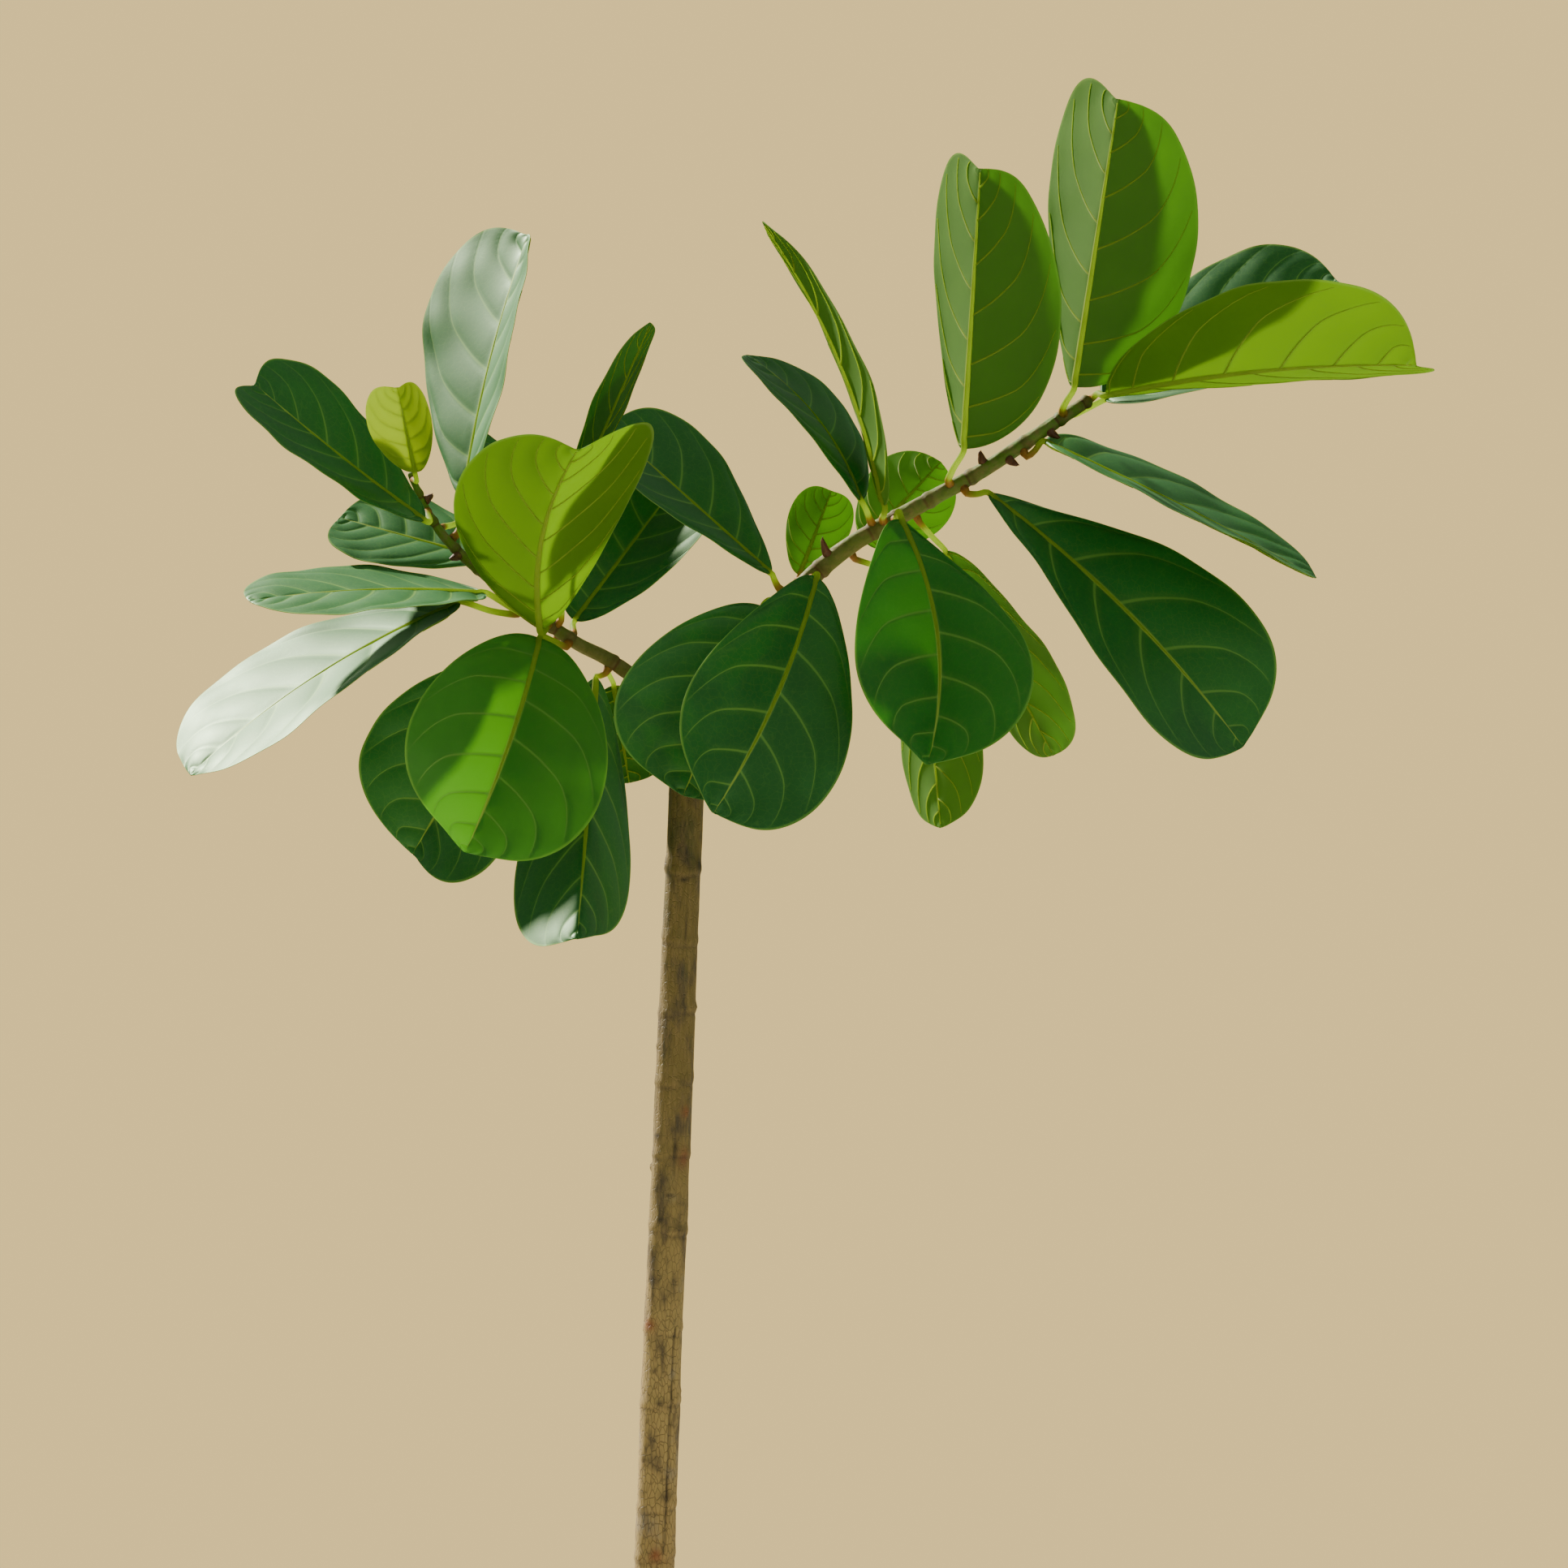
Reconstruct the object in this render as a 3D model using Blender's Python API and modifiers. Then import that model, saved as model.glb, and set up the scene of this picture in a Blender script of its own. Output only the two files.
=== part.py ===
"""Potted fiddle leaf fig: a bare trunk in a plain clay pot, two leafy branches and their leaves.

World frame: +Z up, origin at the centre of the pot's base, branches spread along X, metres.
The tables below are in millimetres and degrees, and MM turns them into metres.
"""
import math

import bpy
import bmesh
from mathutils import Matrix, Vector

MM = 0.001
GAP = 0.3 * MM                      # clearance between pieces that touch

# Pot
POT_HEIGHT = 280 * MM
POT_BASE_RADIUS = 100 * MM
POT_TOP_RADIUS = 150 * MM
POT_WALL = 12 * MM
POT_FLOOR = 15 * MM
RIM_HEIGHT = 45 * MM
RIM_PROUD = 6 * MM
LIP_ROUND = 4 * MM
TURN_STEPS = 36                     # sides of the pot and of the soil, so that they nest
DRAIN_HOLES = 3
DRAIN_RADIUS = 7 * MM
DRAIN_CIRCLE = 55 * MM

# Soil
WATERING_SPACE = 40 * MM            # from the rim down to the soil at the pot wall
SOIL_TOP = POT_HEIGHT - WATERING_SPACE
SOIL_MOUND = 7 * MM                 # how much higher it is round the trunk

# Trunk: route from the root neck to the fork, with the radius at each point
TRUNK_ROUTE = (
    ((-2, 0, 110), 18.0),
    ((0, 0, 245), 15.6),
    ((5, 0, 380), 14.9),
    ((11, 0, 545), 14.4),
    ((18, 0, 700), 13.9),
    ((24, 0, 850), 13.2),
    ((28, 0, 935), 12.8),
    ((30, 0, 1000), 13.6),
)
TRUNK_STEP = 65 * MM

# Branches: routes from the trunk's top outwards, with the radius at each point
LEFT_ROUTE = (
    ((22.2, 0, 1001), 5.2),
    ((22.2, 0, 1010), 5.2),
    ((3, -4, 1029), 5.2),
    ((-28, -9, 1051), 5.4),
    ((-56, -12, 1066), 4.8),
    ((-97, -18, 1096), 4.4),
    ((-137, -22, 1129), 3.7),
    ((-157, -26, 1153), 3.1),
    ((-169, -31, 1178), 2.5),
    ((-172, -34, 1186), 2.4),
)
RIGHT_ROUTE = (
    ((35.5, 0, 1001), 7.4),
    ((35.5, 0, 1010), 7.4),
    ((57, 1, 1046), 7.4),
    ((103, 3, 1095), 7.4),
    ((148, 5, 1135), 6.6),
    ((205, 8, 1168), 6.0),
    ((251, 10, 1194), 5.6),
    ((308, 14, 1232), 4.8),
    ((326, 16, 1244), 4.6),
)
BRANCH_STEP = 16 * MM

# Leaves
LEAF_THICKNESS = 0.9 * MM
LEAF_EDGE = 1.0 * MM                # half-width left at the heel and the tip
STALK_RADIUS = 2.6 * MM
RIB_RADIUS = 1.3 * MM               # where the stalk has run out under the blade
RIB_REACH = 0.22                    # how far along the blade the stalk runs on as its rib
STALK_FOOT = 5 * MM                 # straight out of the branch before the stalk bends
BLADE_COLUMNS = 4
BLADE_ROWS = 9
VEIN_LEAN = 1.9                     # how strongly the side veins lean towards the tip
YOUNG_LEAF = "left_leaf_14"         # the newest leaf, still yellow-green

# Scales: the brown bud sheaths left at some of the branches' nodes
SCALE_RADIUS = 3.4 * MM
# the branch, how far along it (0 to 1), which way the sheath points, and its length
SCALES = (
    ("left", 0.77, (-0.4, -0.7, -0.6), 9),
    ("left", 0.94, (0.9, 0.2, 0.3), 7),
    ("right", 0.49, (-0.6, -0.6, 0.5), 15),
    ("right", 0.83, (-0.4, -0.3, 0.9), 9),
    ("right", 0.84, (0.3, -0.6, -0.7), 10),
    ("right", 0.93, (0.4, -0.5, -0.8), 9),
)

parts = bpy.data.collections.new("potted_fiddle_leaf_fig")
cutters = bpy.data.collections.new("cutters")
COLOURS = {
    "clay": ((0.42, 0.17, 0.09), 0.8),
    "soil": ((0.035, 0.022, 0.014), 0.95),
    "bark": ((0.16, 0.09, 0.03), 0.75),
    "green_bark": ((0.11, 0.13, 0.04), 0.6),
    "leaf": ((0.012, 0.075, 0.018), 0.35),
    "young_leaf": ((0.30, 0.38, 0.01), 0.35),
    "scale": ((0.09, 0.02, 0.008), 0.6),
}


def start_empty():
    for old in list(bpy.data.objects):
        bpy.data.objects.remove(old, do_unlink=True)
    for collection in (parts, cutters):
        bpy.context.scene.collection.children.link(collection)


def paint(obj, kind):
    """Give a node its own Principled material."""
    colour, roughness = COLOURS[kind]
    material = bpy.data.materials.new(obj.name + "_" + kind)
    material.use_nodes = True
    shader = material.node_tree.nodes["Principled BSDF"]
    shader.inputs["Base Color"].default_value = (*colour, 1)
    shader.inputs["Roughness"].default_value = roughness
    obj.data.materials.append(material)


def smooth(obj, angle=40):
    obj.data.shade_smooth()
    obj.data.set_sharp_from_angle(angle=math.radians(angle))


def place(name, data, collection=parts):
    obj = bpy.data.objects.new(name, data)
    collection.objects.link(obj)
    if collection is cutters:
        obj.hide_render = True
        obj.display_type = "WIRE"
    return obj


def mesh_from(bm, name, collection=parts):
    mesh = bpy.data.meshes.new(name)
    bm.to_mesh(mesh)
    bm.free()
    return place(name, mesh, collection)


def join_or_cut(obj, other, operation):
    boolean = obj.modifiers.new(operation.lower(), "BOOLEAN")
    boolean.operation = operation
    boolean.solver = "EXACT"
    boolean.object = other


def turned(name, profile, steps):
    """A turned solid: its half outline (radius, height) runs down the outside, swept about Z."""
    bm = bmesh.new()
    rim = [bm.verts.new((radius, 0, height)) for radius, height in profile]
    for upper, lower in zip(rim, rim[1:]):
        bm.edges.new((upper, lower))
    obj = mesh_from(bm, name)
    screw = obj.modifiers.new("turn", "SCREW")
    screw.steps = steps
    screw.render_steps = steps
    screw.use_merge_vertices = True
    screw.merge_threshold = 0.00005
    smooth(obj)
    return obj


def curve_through(route, step):
    """Points about every `step` along a smooth curve through the route, with their radii."""
    points = [Vector(place_mm) * MM for place_mm, _ in route]
    radii = [radius * MM for _, radius in route]
    points = [2 * points[0] - points[1], *points, 2 * points[-1] - points[-2]]
    line = []
    for i, (a, b, c, d) in enumerate(zip(points, points[1:], points[2:], points[3:])):
        count = max(1, round((c - b).length / step))
        for k in range(count):
            s = k / count
            spot = (2 * b + (c - a) * s + (2 * a - 5 * b + 4 * c - d) * s**2
                    + (3 * b - a - 3 * c + d) * s**3) / 2
            line.append((spot, radii[i] + (radii[i + 1] - radii[i]) * s))
    line.append((points[-2], radii[-1]))
    return line


def tube(name, line, resolution, collection=parts):
    """A round tube along points with their radii, as one closed mesh."""
    curve = bpy.data.curves.new(name, "CURVE")
    curve.dimensions = "3D"
    curve.bevel_depth = 1.0
    curve.bevel_resolution = resolution
    curve.use_fill_caps = True
    spline = curve.splines.new("POLY")
    spline.points.add(len(line) - 1)
    for point, (spot, radius) in zip(spline.points, line):
        point.co = (*spot, 1)
        point.radius = radius
    guide = place(name + "_route", curve, cutters)
    bpy.context.view_layer.update()
    graph = bpy.context.evaluated_depsgraph_get()
    mesh = bpy.data.meshes.new_from_object(guide.evaluated_get(graph))
    bm = bmesh.new()
    bm.from_mesh(mesh)
    bmesh.ops.remove_doubles(bm, verts=bm.verts, dist=0.00001)
    bmesh.ops.recalc_face_normals(bm, faces=bm.faces)
    bm.to_mesh(mesh)
    bm.free()
    obj = place(name, mesh, collection)
    obj.matrix_world = guide.matrix_world
    bpy.data.objects.remove(guide)
    smooth(obj, 60)
    return obj


def wall_radius(height):
    """The pot's outer radius at a height, below the rim."""
    return POT_BASE_RADIUS + (POT_TOP_RADIUS - RIM_PROUD - POT_BASE_RADIUS) * height / POT_HEIGHT


def inner_radius(height):
    return wall_radius(height) - POT_WALL


def make_pot():
    rim_foot = POT_HEIGHT - RIM_HEIGHT
    profile = [
        (inner_radius(POT_HEIGHT) + LIP_ROUND, POT_HEIGHT),
        (POT_TOP_RADIUS - LIP_ROUND, POT_HEIGHT),
        (POT_TOP_RADIUS, POT_HEIGHT - LIP_ROUND),
        (POT_TOP_RADIUS - RIM_PROUD / 2, rim_foot),
        (wall_radius(rim_foot), rim_foot - RIM_PROUD / 2),
        (POT_BASE_RADIUS, 0),
        (0, 0),
    ]
    inside = [
        (0, POT_FLOOR),
        (inner_radius(POT_FLOOR), POT_FLOOR),
        (inner_radius(POT_HEIGHT - LIP_ROUND), POT_HEIGHT - LIP_ROUND),
        profile[0],
    ]
    pot = turned("pot", profile + inside, TURN_STEPS)
    for i in range(DRAIN_HOLES):
        angle = 2 * math.pi * i / DRAIN_HOLES
        bm = bmesh.new()
        bmesh.ops.create_cone(bm, cap_ends=True, segments=16, radius1=DRAIN_RADIUS,
                              radius2=DRAIN_RADIUS, depth=3 * POT_FLOOR)
        drill = mesh_from(bm, f"drain_drill_{i + 1}", cutters)
        drill.location = (DRAIN_CIRCLE * math.cos(angle), DRAIN_CIRCLE * math.sin(angle), 0)
        join_or_cut(pot, drill, "DIFFERENCE")
    paint(pot, "clay")


def make_soil():
    """Soil that fills the pot and is pressed up round the trunk."""
    neck, neck_radius = TRUNK_ROUTE[0]
    above, _ = TRUNK_ROUTE[1]
    floor = POT_FLOOR + GAP
    fall = (0, 0.25, 0.5, 0.75, 1)
    top = [(f * (inner_radius(SOIL_TOP) - GAP), SOIL_TOP + SOIL_MOUND * (1 - f) ** 1.5) for f in fall]
    soil = turned("soil", top + [(inner_radius(floor) - GAP, floor), (0, floor)], TURN_STEPS)
    sides = 24
    axis = (Vector(above) - Vector(neck)).normalized()
    depth = SOIL_TOP
    bm = bmesh.new()
    socket_radius = (neck_radius * MM + GAP) / math.cos(math.pi / sides)
    bmesh.ops.create_cone(bm, cap_ends=True, segments=sides, radius1=socket_radius,
                          radius2=socket_radius, depth=depth)
    socket = mesh_from(bm, "trunk_socket", cutters)
    foot = Vector(neck) * MM - axis * GAP
    socket.matrix_world = (Matrix.Translation(foot + axis * depth / 2)
                           @ axis.to_track_quat("Z", "Y").to_matrix().to_4x4())
    join_or_cut(soil, socket, "DIFFERENCE")
    paint(soil, "soil")


def outline(t, length, leaf, side):
    """The blade's flat margin: (distance from the rib, distance from the heel) at t from 0 to 1."""
    turn = math.pi * t
    fullness = 1 - 0.3 * max(0.0, t - 0.3)
    belly = leaf["belly"] + side * leaf["lean"]
    across = leaf["half"] * MM * math.sin(turn) ** fullness * (1 - belly * math.cos(turn))
    across = across / (1 + belly**2 / 2) + LEAF_EDGE
    start = 0.8 if leaf["notch"] > 0 else 0.92
    pull = leaf["notch"] * MM * max(0.0, (t - start) / (1 - start)) ** 2
    reach = side * leaf["skew"] * MM * t**2 * (1 - t**6)
    return across, length * (1 - math.cos(turn)) / 2 - pull + reach


def blade_frame(blade):
    """Along the rib, across it, and out of the plane towards -Y."""
    along = blade.normalized()
    front = Vector((0, -1, 0))
    front = (front - along * front.dot(along)).normalized()
    return along, along.cross(front), front


def blade_point(heel, leaf, u, t):
    """A point of the blade: u runs from margin to margin through the rib at 0, t from heel to tip."""
    blade = Vector(leaf["blade"]) * MM
    along, across, front = blade_frame(blade)
    side = -1 if u < 0 else 1
    span, reach = outline(t, blade.length + leaf["notch"] * MM, leaf, side)
    rib = blade.length * t**VEIN_LEAN
    s = (rib + (reach - rib) * abs(u)) / blade.length
    bow = (across * leaf["bow"] + front * leaf["lift"]) * MM
    turn, fold = math.radians(leaf["turn"]), math.radians(leaf["fold"])
    sideways = across * math.cos(turn) + front * math.sin(turn)
    upwards = front * math.cos(turn) - across * math.sin(turn)
    distance = abs(u) * span
    spine = heel + blade * s + bow * 4 * s * (1 - s)
    return spine + sideways * side * distance * math.cos(fold) + upwards * distance * math.sin(fold)


def make_leaf(name, line, leaf):
    """A blade with its stalk, as one piece; the stalk starts on the branch's skin."""
    at = leaf["at"] * (len(line) - 1)
    i = min(int(at), len(line) - 2)
    (before, thick), (after, thin) = line[i], line[i + 1]
    core = before.lerp(after, at - i)
    skin = thick + (thin - thick) * (at - i)
    stalk = Vector(leaf["stalk"]) * MM
    heel = core + stalk
    run = (after - before).normalized()
    out = (stalk - run * stalk.dot(run)).normalized()
    if leaf["at"] == 1:
        out = run
        skin = 0
    bm = bmesh.new()
    bmesh.ops.create_grid(bm, x_segments=BLADE_COLUMNS, y_segments=BLADE_ROWS, size=1)
    for vert in bm.verts:
        vert.co = blade_point(heel, leaf, vert.co.x, (vert.co.y + 1) / 2)
    obj = mesh_from(bm, name)
    solid = obj.modifiers.new("thickness", "SOLIDIFY")
    solid.thickness = LEAF_THICKNESS
    solid.offset = 0
    foot = core + out * (skin + GAP)
    knee = foot + out * STALK_FOOT
    toward = Vector(leaf["blade"]).normalized()
    bend = (knee + heel) / 2 + (out - toward) * (heel - knee).length * 0.18
    under = blade_point(heel, leaf, 0, (RIB_REACH / 2) ** (1 / VEIN_LEAN))
    rib_end = blade_point(heel, leaf, 0, RIB_REACH ** (1 / VEIN_LEAN))
    run_of_stalk = (
        (foot, STALK_RADIUS), (knee, STALK_RADIUS), (bend, STALK_RADIUS * 0.9),
        (heel, STALK_RADIUS * 0.85), (under, RIB_RADIUS * 1.3), (rib_end, RIB_RADIUS),
    )
    join_or_cut(obj, tube(name + "_stalk", run_of_stalk, 1, cutters), "UNION")
    smooth(obj, 50)
    paint(obj, "young_leaf" if name == YOUNG_LEAF else "leaf")


def grown(at, stalk, blade, half, turn, fold, bow=0, lift=0, belly=0.35, notch=0, skew=0, lean=0):
    """One leaf's sizes: where it leaves the branch (0 to 1), its stalk and rib, then its blade."""
    return dict(at=at, stalk=stalk, blade=blade, half=half, turn=turn, fold=fold, bow=bow,
                lift=lift, belly=belly, notch=notch, skew=skew, lean=lean)


LEFT_LEAVES = (
    grown(0.27, (0, 29, -17), (11, 10, -72), 35, 180, 20),
    grown(0.27, (-12, -1, -12), (-10, -88, -189), 67, 11, -51, lift=-18, notch=-4, skew=22),
    grown(0.39, (-22, -16, 0), (-52, -34, -156), 87, 6, 33, bow=-5, lift=15, belly=0.3, notch=-4,
          skew=-15),
    grown(0.39, (2, 22, 15), (78, 40, 108), 56, 28, 18),
    grown(0.42, (-28, 45, -20), (-87, 20, -144), 76, -22, 19, skew=-16),
    grown(0.44, (6, -52, 71), (67, -52, 143), 40, 102, 4, notch=-3),
    grown(0.46, (-4, -36, -5), (33, -120, 121), 74, 168, 32, bow=-12, belly=0.14, notch=14,
          skew=-23, lean=-0.2),
    grown(0.51, (-33, -22, 12), (-163, -66, -9), 66, -73, 2, bow=5, belly=0.2),
    grown(0.53, (-47, -18, 1), (-188, -55, -126), 90, -66, 7, bow=11, belly=0.4, notch=-4, skew=8),
    grown(0.6, (-8, 39, 21), (-116, 24, 33), 57, -58, 4, belly=0.45),
    grown(0.76, (10, 13, 34), (45, 40, 198), 84, 60, 18, bow=-5, belly=0.3, skew=-34, lean=-0.25),
    grown(0.8, (16, 80, 26), (8, 55, 57), 48, -45, 8),
    grown(0.86, (0, -33, -8), (-119, -32, 95), 59, -61, 10, bow=-2, belly=0.42, notch=14, skew=-10),
    grown(0.98, (4, -29, 3), (-8, -54, 56), 27, 10, 32, notch=13, skew=5),
)
RIGHT_LEAVES = (
    grown(0.31, (-11, -33, 1), (-58, -15, -138), 75, -2, 18, notch=-3),
    grown(0.34, (-14, -3, 19), (-120, 0, 108), 72, -61, 11, belly=0.6),
    grown(0.38, (-3, 11, 8), (24, 25, 64), 24, 180, 15, notch=3),
    grown(0.4, (4, -29, -1), (-74, -85, -172), 67, 8, 20, bow=-8, belly=0.5, notch=-3, skew=-24),
    grown(0.5, (55, 35, -32), (15, -10, -176), 45, 130, 10, notch=-3),
    grown(0.53, (4, 28, -1), (59, 86, 66), 36, 180, 20, notch=3),
    grown(0.56, (-11, -18, 21), (-84, 32, 110), 52, -67, 6, bow=12, notch=-3),
    grown(0.58, (-1, -26, 13), (-89, -40, 203), 56, -96, 6, bow=12, belly=0.1, notch=-6),
    grown(0.6, (4, -47, -3), (17, -70, -179), 82, 8, 35, bow=-17, belly=0.65, notch=-4, skew=-24,
          lean=-0.2),
    grown(0.64, (25, 12, -31), (81, 10, -151), 50, 120, 6),
    grown(0.72, (8, -29, 27), (13, 10, 207), 66, 218, 26, belly=0.22, notch=16, skew=26, lean=0.35),
    grown(0.74, (21, -9, -9), (185, -20, -187), 95, 46, 12, bow=-10, belly=0.75, notch=-4),
    grown(0.86, (19, -2, 3), (202, 10, -100), 80, 76, 6, bow=-3, belly=-0.12, notch=-3),
    grown(0.96, (6, -24, 20), (34, 20, 215), 74, 208, 30, belly=0.3, notch=18, skew=34, lean=0.3),
    grown(0.99, (23, 80, 11), (180, 26, 94), 72, 47, 10, notch=6, skew=6),
    grown(1, (12, -27, 2), (225, -25, 20), 72, 121, 29, bow=-7, belly=0.25, notch=14, skew=-26),
)


def make_scale(name, line, at, heading, length):
    """A pointed bud sheath that stands on the branch's skin."""
    i = min(int(at * (len(line) - 1)), len(line) - 2)
    (core, skin), (after, _) = line[i], line[i + 1]
    run = (after - core).normalized()
    out = Vector(heading)
    out = (out - run * out.dot(run)).normalized()
    bm = bmesh.new()
    bmesh.ops.create_cone(bm, cap_ends=True, segments=8, radius1=SCALE_RADIUS,
                          radius2=SCALE_RADIUS * 0.3, depth=length * MM)
    scale = mesh_from(bm, name)
    middle = core + out * (skin + GAP + length * MM / 2)
    scale.matrix_world = (Matrix.Translation(middle)
                          @ out.to_track_quat("Z", "Y").to_matrix().to_4x4())
    smooth(scale, 50)
    paint(scale, "scale")


start_empty()
make_pot()
make_soil()
trunk = tube("trunk", curve_through(TRUNK_ROUTE, TRUNK_STEP), 4)
paint(trunk, "bark")
lines = {"left": curve_through(LEFT_ROUTE, BRANCH_STEP), "right": curve_through(RIGHT_ROUTE, BRANCH_STEP)}
for side, line in lines.items():
    branch = tube(side + "_branch", line, 2)
    paint(branch, "green_bark")
for side, leaves in (("left", LEFT_LEAVES), ("right", RIGHT_LEAVES)):
    for number, leaf in enumerate(leaves, 1):
        make_leaf(f"{side}_leaf_{number}", lines[side], leaf)
for number, (side, at, heading, length) in enumerate(SCALES, 1):
    make_scale(f"bud_scale_{number}", lines[side], at, heading, length)
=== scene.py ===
"""Looks of the potted fiddle leaf fig: clay pot, soil, trunk, branches, leaves and bud sheaths.

World frame: metres, +Z up, origin at the centre of the pot's base. The sections follow the plant
from the ground up. Tables are in millimetres and degrees.
"""
import math

import bpy
import bmesh
import numpy as np
from mathutils import Matrix, Vector, noise


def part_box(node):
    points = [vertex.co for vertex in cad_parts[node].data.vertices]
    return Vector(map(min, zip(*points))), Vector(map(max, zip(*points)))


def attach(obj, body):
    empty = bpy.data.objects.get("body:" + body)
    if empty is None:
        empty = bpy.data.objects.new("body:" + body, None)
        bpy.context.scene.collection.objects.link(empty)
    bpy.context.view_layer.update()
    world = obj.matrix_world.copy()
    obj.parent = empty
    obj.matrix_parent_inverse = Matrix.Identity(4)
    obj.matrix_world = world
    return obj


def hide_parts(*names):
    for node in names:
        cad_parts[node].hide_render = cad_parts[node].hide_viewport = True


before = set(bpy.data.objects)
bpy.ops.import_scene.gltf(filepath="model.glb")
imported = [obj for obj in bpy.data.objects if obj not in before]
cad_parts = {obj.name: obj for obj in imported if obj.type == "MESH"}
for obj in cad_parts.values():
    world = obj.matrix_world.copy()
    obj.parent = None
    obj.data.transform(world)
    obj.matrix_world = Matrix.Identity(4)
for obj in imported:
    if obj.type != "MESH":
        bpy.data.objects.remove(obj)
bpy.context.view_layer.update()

# ----------------------------------------------------------
# Studio. A level camera well back from the crown, a warm plain backdrop lit on its own, dim
# room light, a pale round floor, a strong key lamp high on the left and behind, and weak fill.
# ----------------------------------------------------------
CAMERA_AT = (0.1008, -3.22, 0.9596)
CAMERA_LENS = 100
CAMERA_SENSOR = 36
BACKDROP = (1.12, 0.81, 0.31)
SKY_FILL = (0.27, 0.34, 0.25)
FLOOR_RADIUS = 1.7
FLOOR_SIDES = 96
FLOOR_DULL, FLOOR_PALE = (0.66, 0.60, 0.50), (0.72, 0.67, 0.57)
# each lamp: the way to it from the plant, its strength, its colour, and its spread in degrees
LAMPS = {
    "key": ((-0.59, 0.52, 0.62), 12.0, (1.0, 0.96, 0.84), 3),
    "fill": ((0.3, -0.8, 0.45), 0.4, (0.95, 1.0, 0.95), 40),
}

scene = bpy.context.scene
camera = bpy.data.objects.new("camera", bpy.data.cameras.new("camera"))
camera.data.lens = CAMERA_LENS
camera.data.sensor_width = CAMERA_SENSOR
camera.location = CAMERA_AT
camera.rotation_euler = (math.pi / 2, 0, 0)
scene.collection.objects.link(camera)
scene.camera = camera

world = bpy.data.worlds.new("studio")
scene.world = world
world.use_nodes = True
wiring = world.node_tree
room = wiring.nodes["Background"]
room.inputs["Color"].default_value = (*SKY_FILL, 1)
backdrop = wiring.nodes.new("ShaderNodeBackground")
backdrop.inputs["Color"].default_value = (*BACKDROP, 1)
seen = wiring.nodes.new("ShaderNodeLightPath")
either = wiring.nodes.new("ShaderNodeMixShader")
wiring.links.new(seen.outputs["Is Camera Ray"], either.inputs[0])
wiring.links.new(room.outputs[0], either.inputs[1])
wiring.links.new(backdrop.outputs[0], either.inputs[2])
wiring.links.new(either.outputs[0], wiring.nodes["World Output"].inputs["Surface"])

for name, (towards, strength, colour, spread) in LAMPS.items():
    lamp = bpy.data.objects.new(name, bpy.data.lights.new(name, "SUN"))
    lamp.data.energy = strength
    lamp.data.color = colour
    lamp.data.angle = math.radians(spread)
    lamp.rotation_euler = Vector(towards).to_track_quat("Z", "Y").to_euler()
    scene.collection.objects.link(lamp)


class Paint:
    """A shader socket that can be used in sums; `tree` is the material being painted."""
    tree = None

    def __init__(self, socket):
        self.socket = socket

    @staticmethod
    def node(kind, settings=None, out=0, **inputs):
        """Add a node: its settings first, then values or links for its sockets."""
        made = Paint.tree.nodes.new(kind)
        for name, value in (settings or {}).items():
            setattr(made, name, value)
        for name, value in inputs.items():
            key = int(name[1:]) if name[0] == "_" else name.replace("_", " ")
            target = made.inputs[key]
            if isinstance(value, Paint):
                Paint.tree.links.new(value.socket, target)
            elif hasattr(target.default_value, "__len__") and len(target.default_value) == 4:
                target.default_value = (*value, 1)
            else:
                target.default_value = value
        return Paint(made.outputs[out])

    def maths(self, operation, *others):
        terms = {f"_{i}": term for i, term in enumerate((self, *others))}
        return Paint.node("ShaderNodeMath", {"operation": operation}, **terms)

    def __add__(self, other):
        return self.maths("ADD", other)

    __radd__ = __add__

    def __mul__(self, other):
        return self.maths("MULTIPLY", other)

    __rmul__ = __mul__

    def __sub__(self, other):
        return self.maths("SUBTRACT", other)

    def __rsub__(self, other):
        return Paint.node("ShaderNodeMath", {"operation": "SUBTRACT"}, _0=other, _1=self)

    def ease(self, low, high, start=0.0, end=1.0):
        """Goes smoothly from start to end as the value goes from low to high."""
        return Paint.node("ShaderNodeMapRange", {"interpolation_type": "SMOOTHSTEP"},
                          _0=self, _1=low, _2=high, _3=start, _4=end)

    def mix(self, without, within):
        """A colour: `within` where this mask is 1, `without` where it is 0."""
        return Paint.node("ShaderNodeMix", {"data_type": "RGBA"}, out=2,
                          _0=self, _6=without, _7=within)


def new_material(name):
    """A fresh material to paint, and its shader."""
    material = bpy.data.materials.new(name)
    material.use_nodes = True
    Paint.tree = material.node_tree
    return material, material.node_tree.nodes["Principled BSDF"]


def feed(shader, **inputs):
    """Set or link the sockets of a material's own shader."""
    for name, value in inputs.items():
        target = shader.inputs[name.replace("_", " ")]
        if isinstance(value, Paint):
            Paint.tree.links.new(value.socket, target)
        elif isinstance(value, tuple):
            target.default_value = (*value, 1)
        else:
            target.default_value = value


def place_in():
    """Where on the object, in metres."""
    return Paint.node("ShaderNodeTexCoord", out=3)


def cloudy(scale, detail=3.0, rough=0.5, at=None):
    """Soft noise from 0 to 1."""
    return Paint.node("ShaderNodeTexNoise", Vector=at or place_in(), Scale=scale,
                      Detail=detail, Roughness=rough)


bm = bmesh.new()
bmesh.ops.create_circle(bm, cap_ends=True, segments=FLOOR_SIDES, radius=FLOOR_RADIUS)
floor_mesh = bpy.data.meshes.new("floor")
bm.to_mesh(floor_mesh)
bm.free()
floor = bpy.data.objects.new("floor", floor_mesh)
scene.collection.objects.link(floor)
concrete, shader = new_material("pale_floor")
feed(shader, Base_Color=cloudy(3, 4).mix(FLOOR_DULL, FLOOR_PALE), Roughness=0.8)
floor.data.materials.append(concrete)


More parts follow.
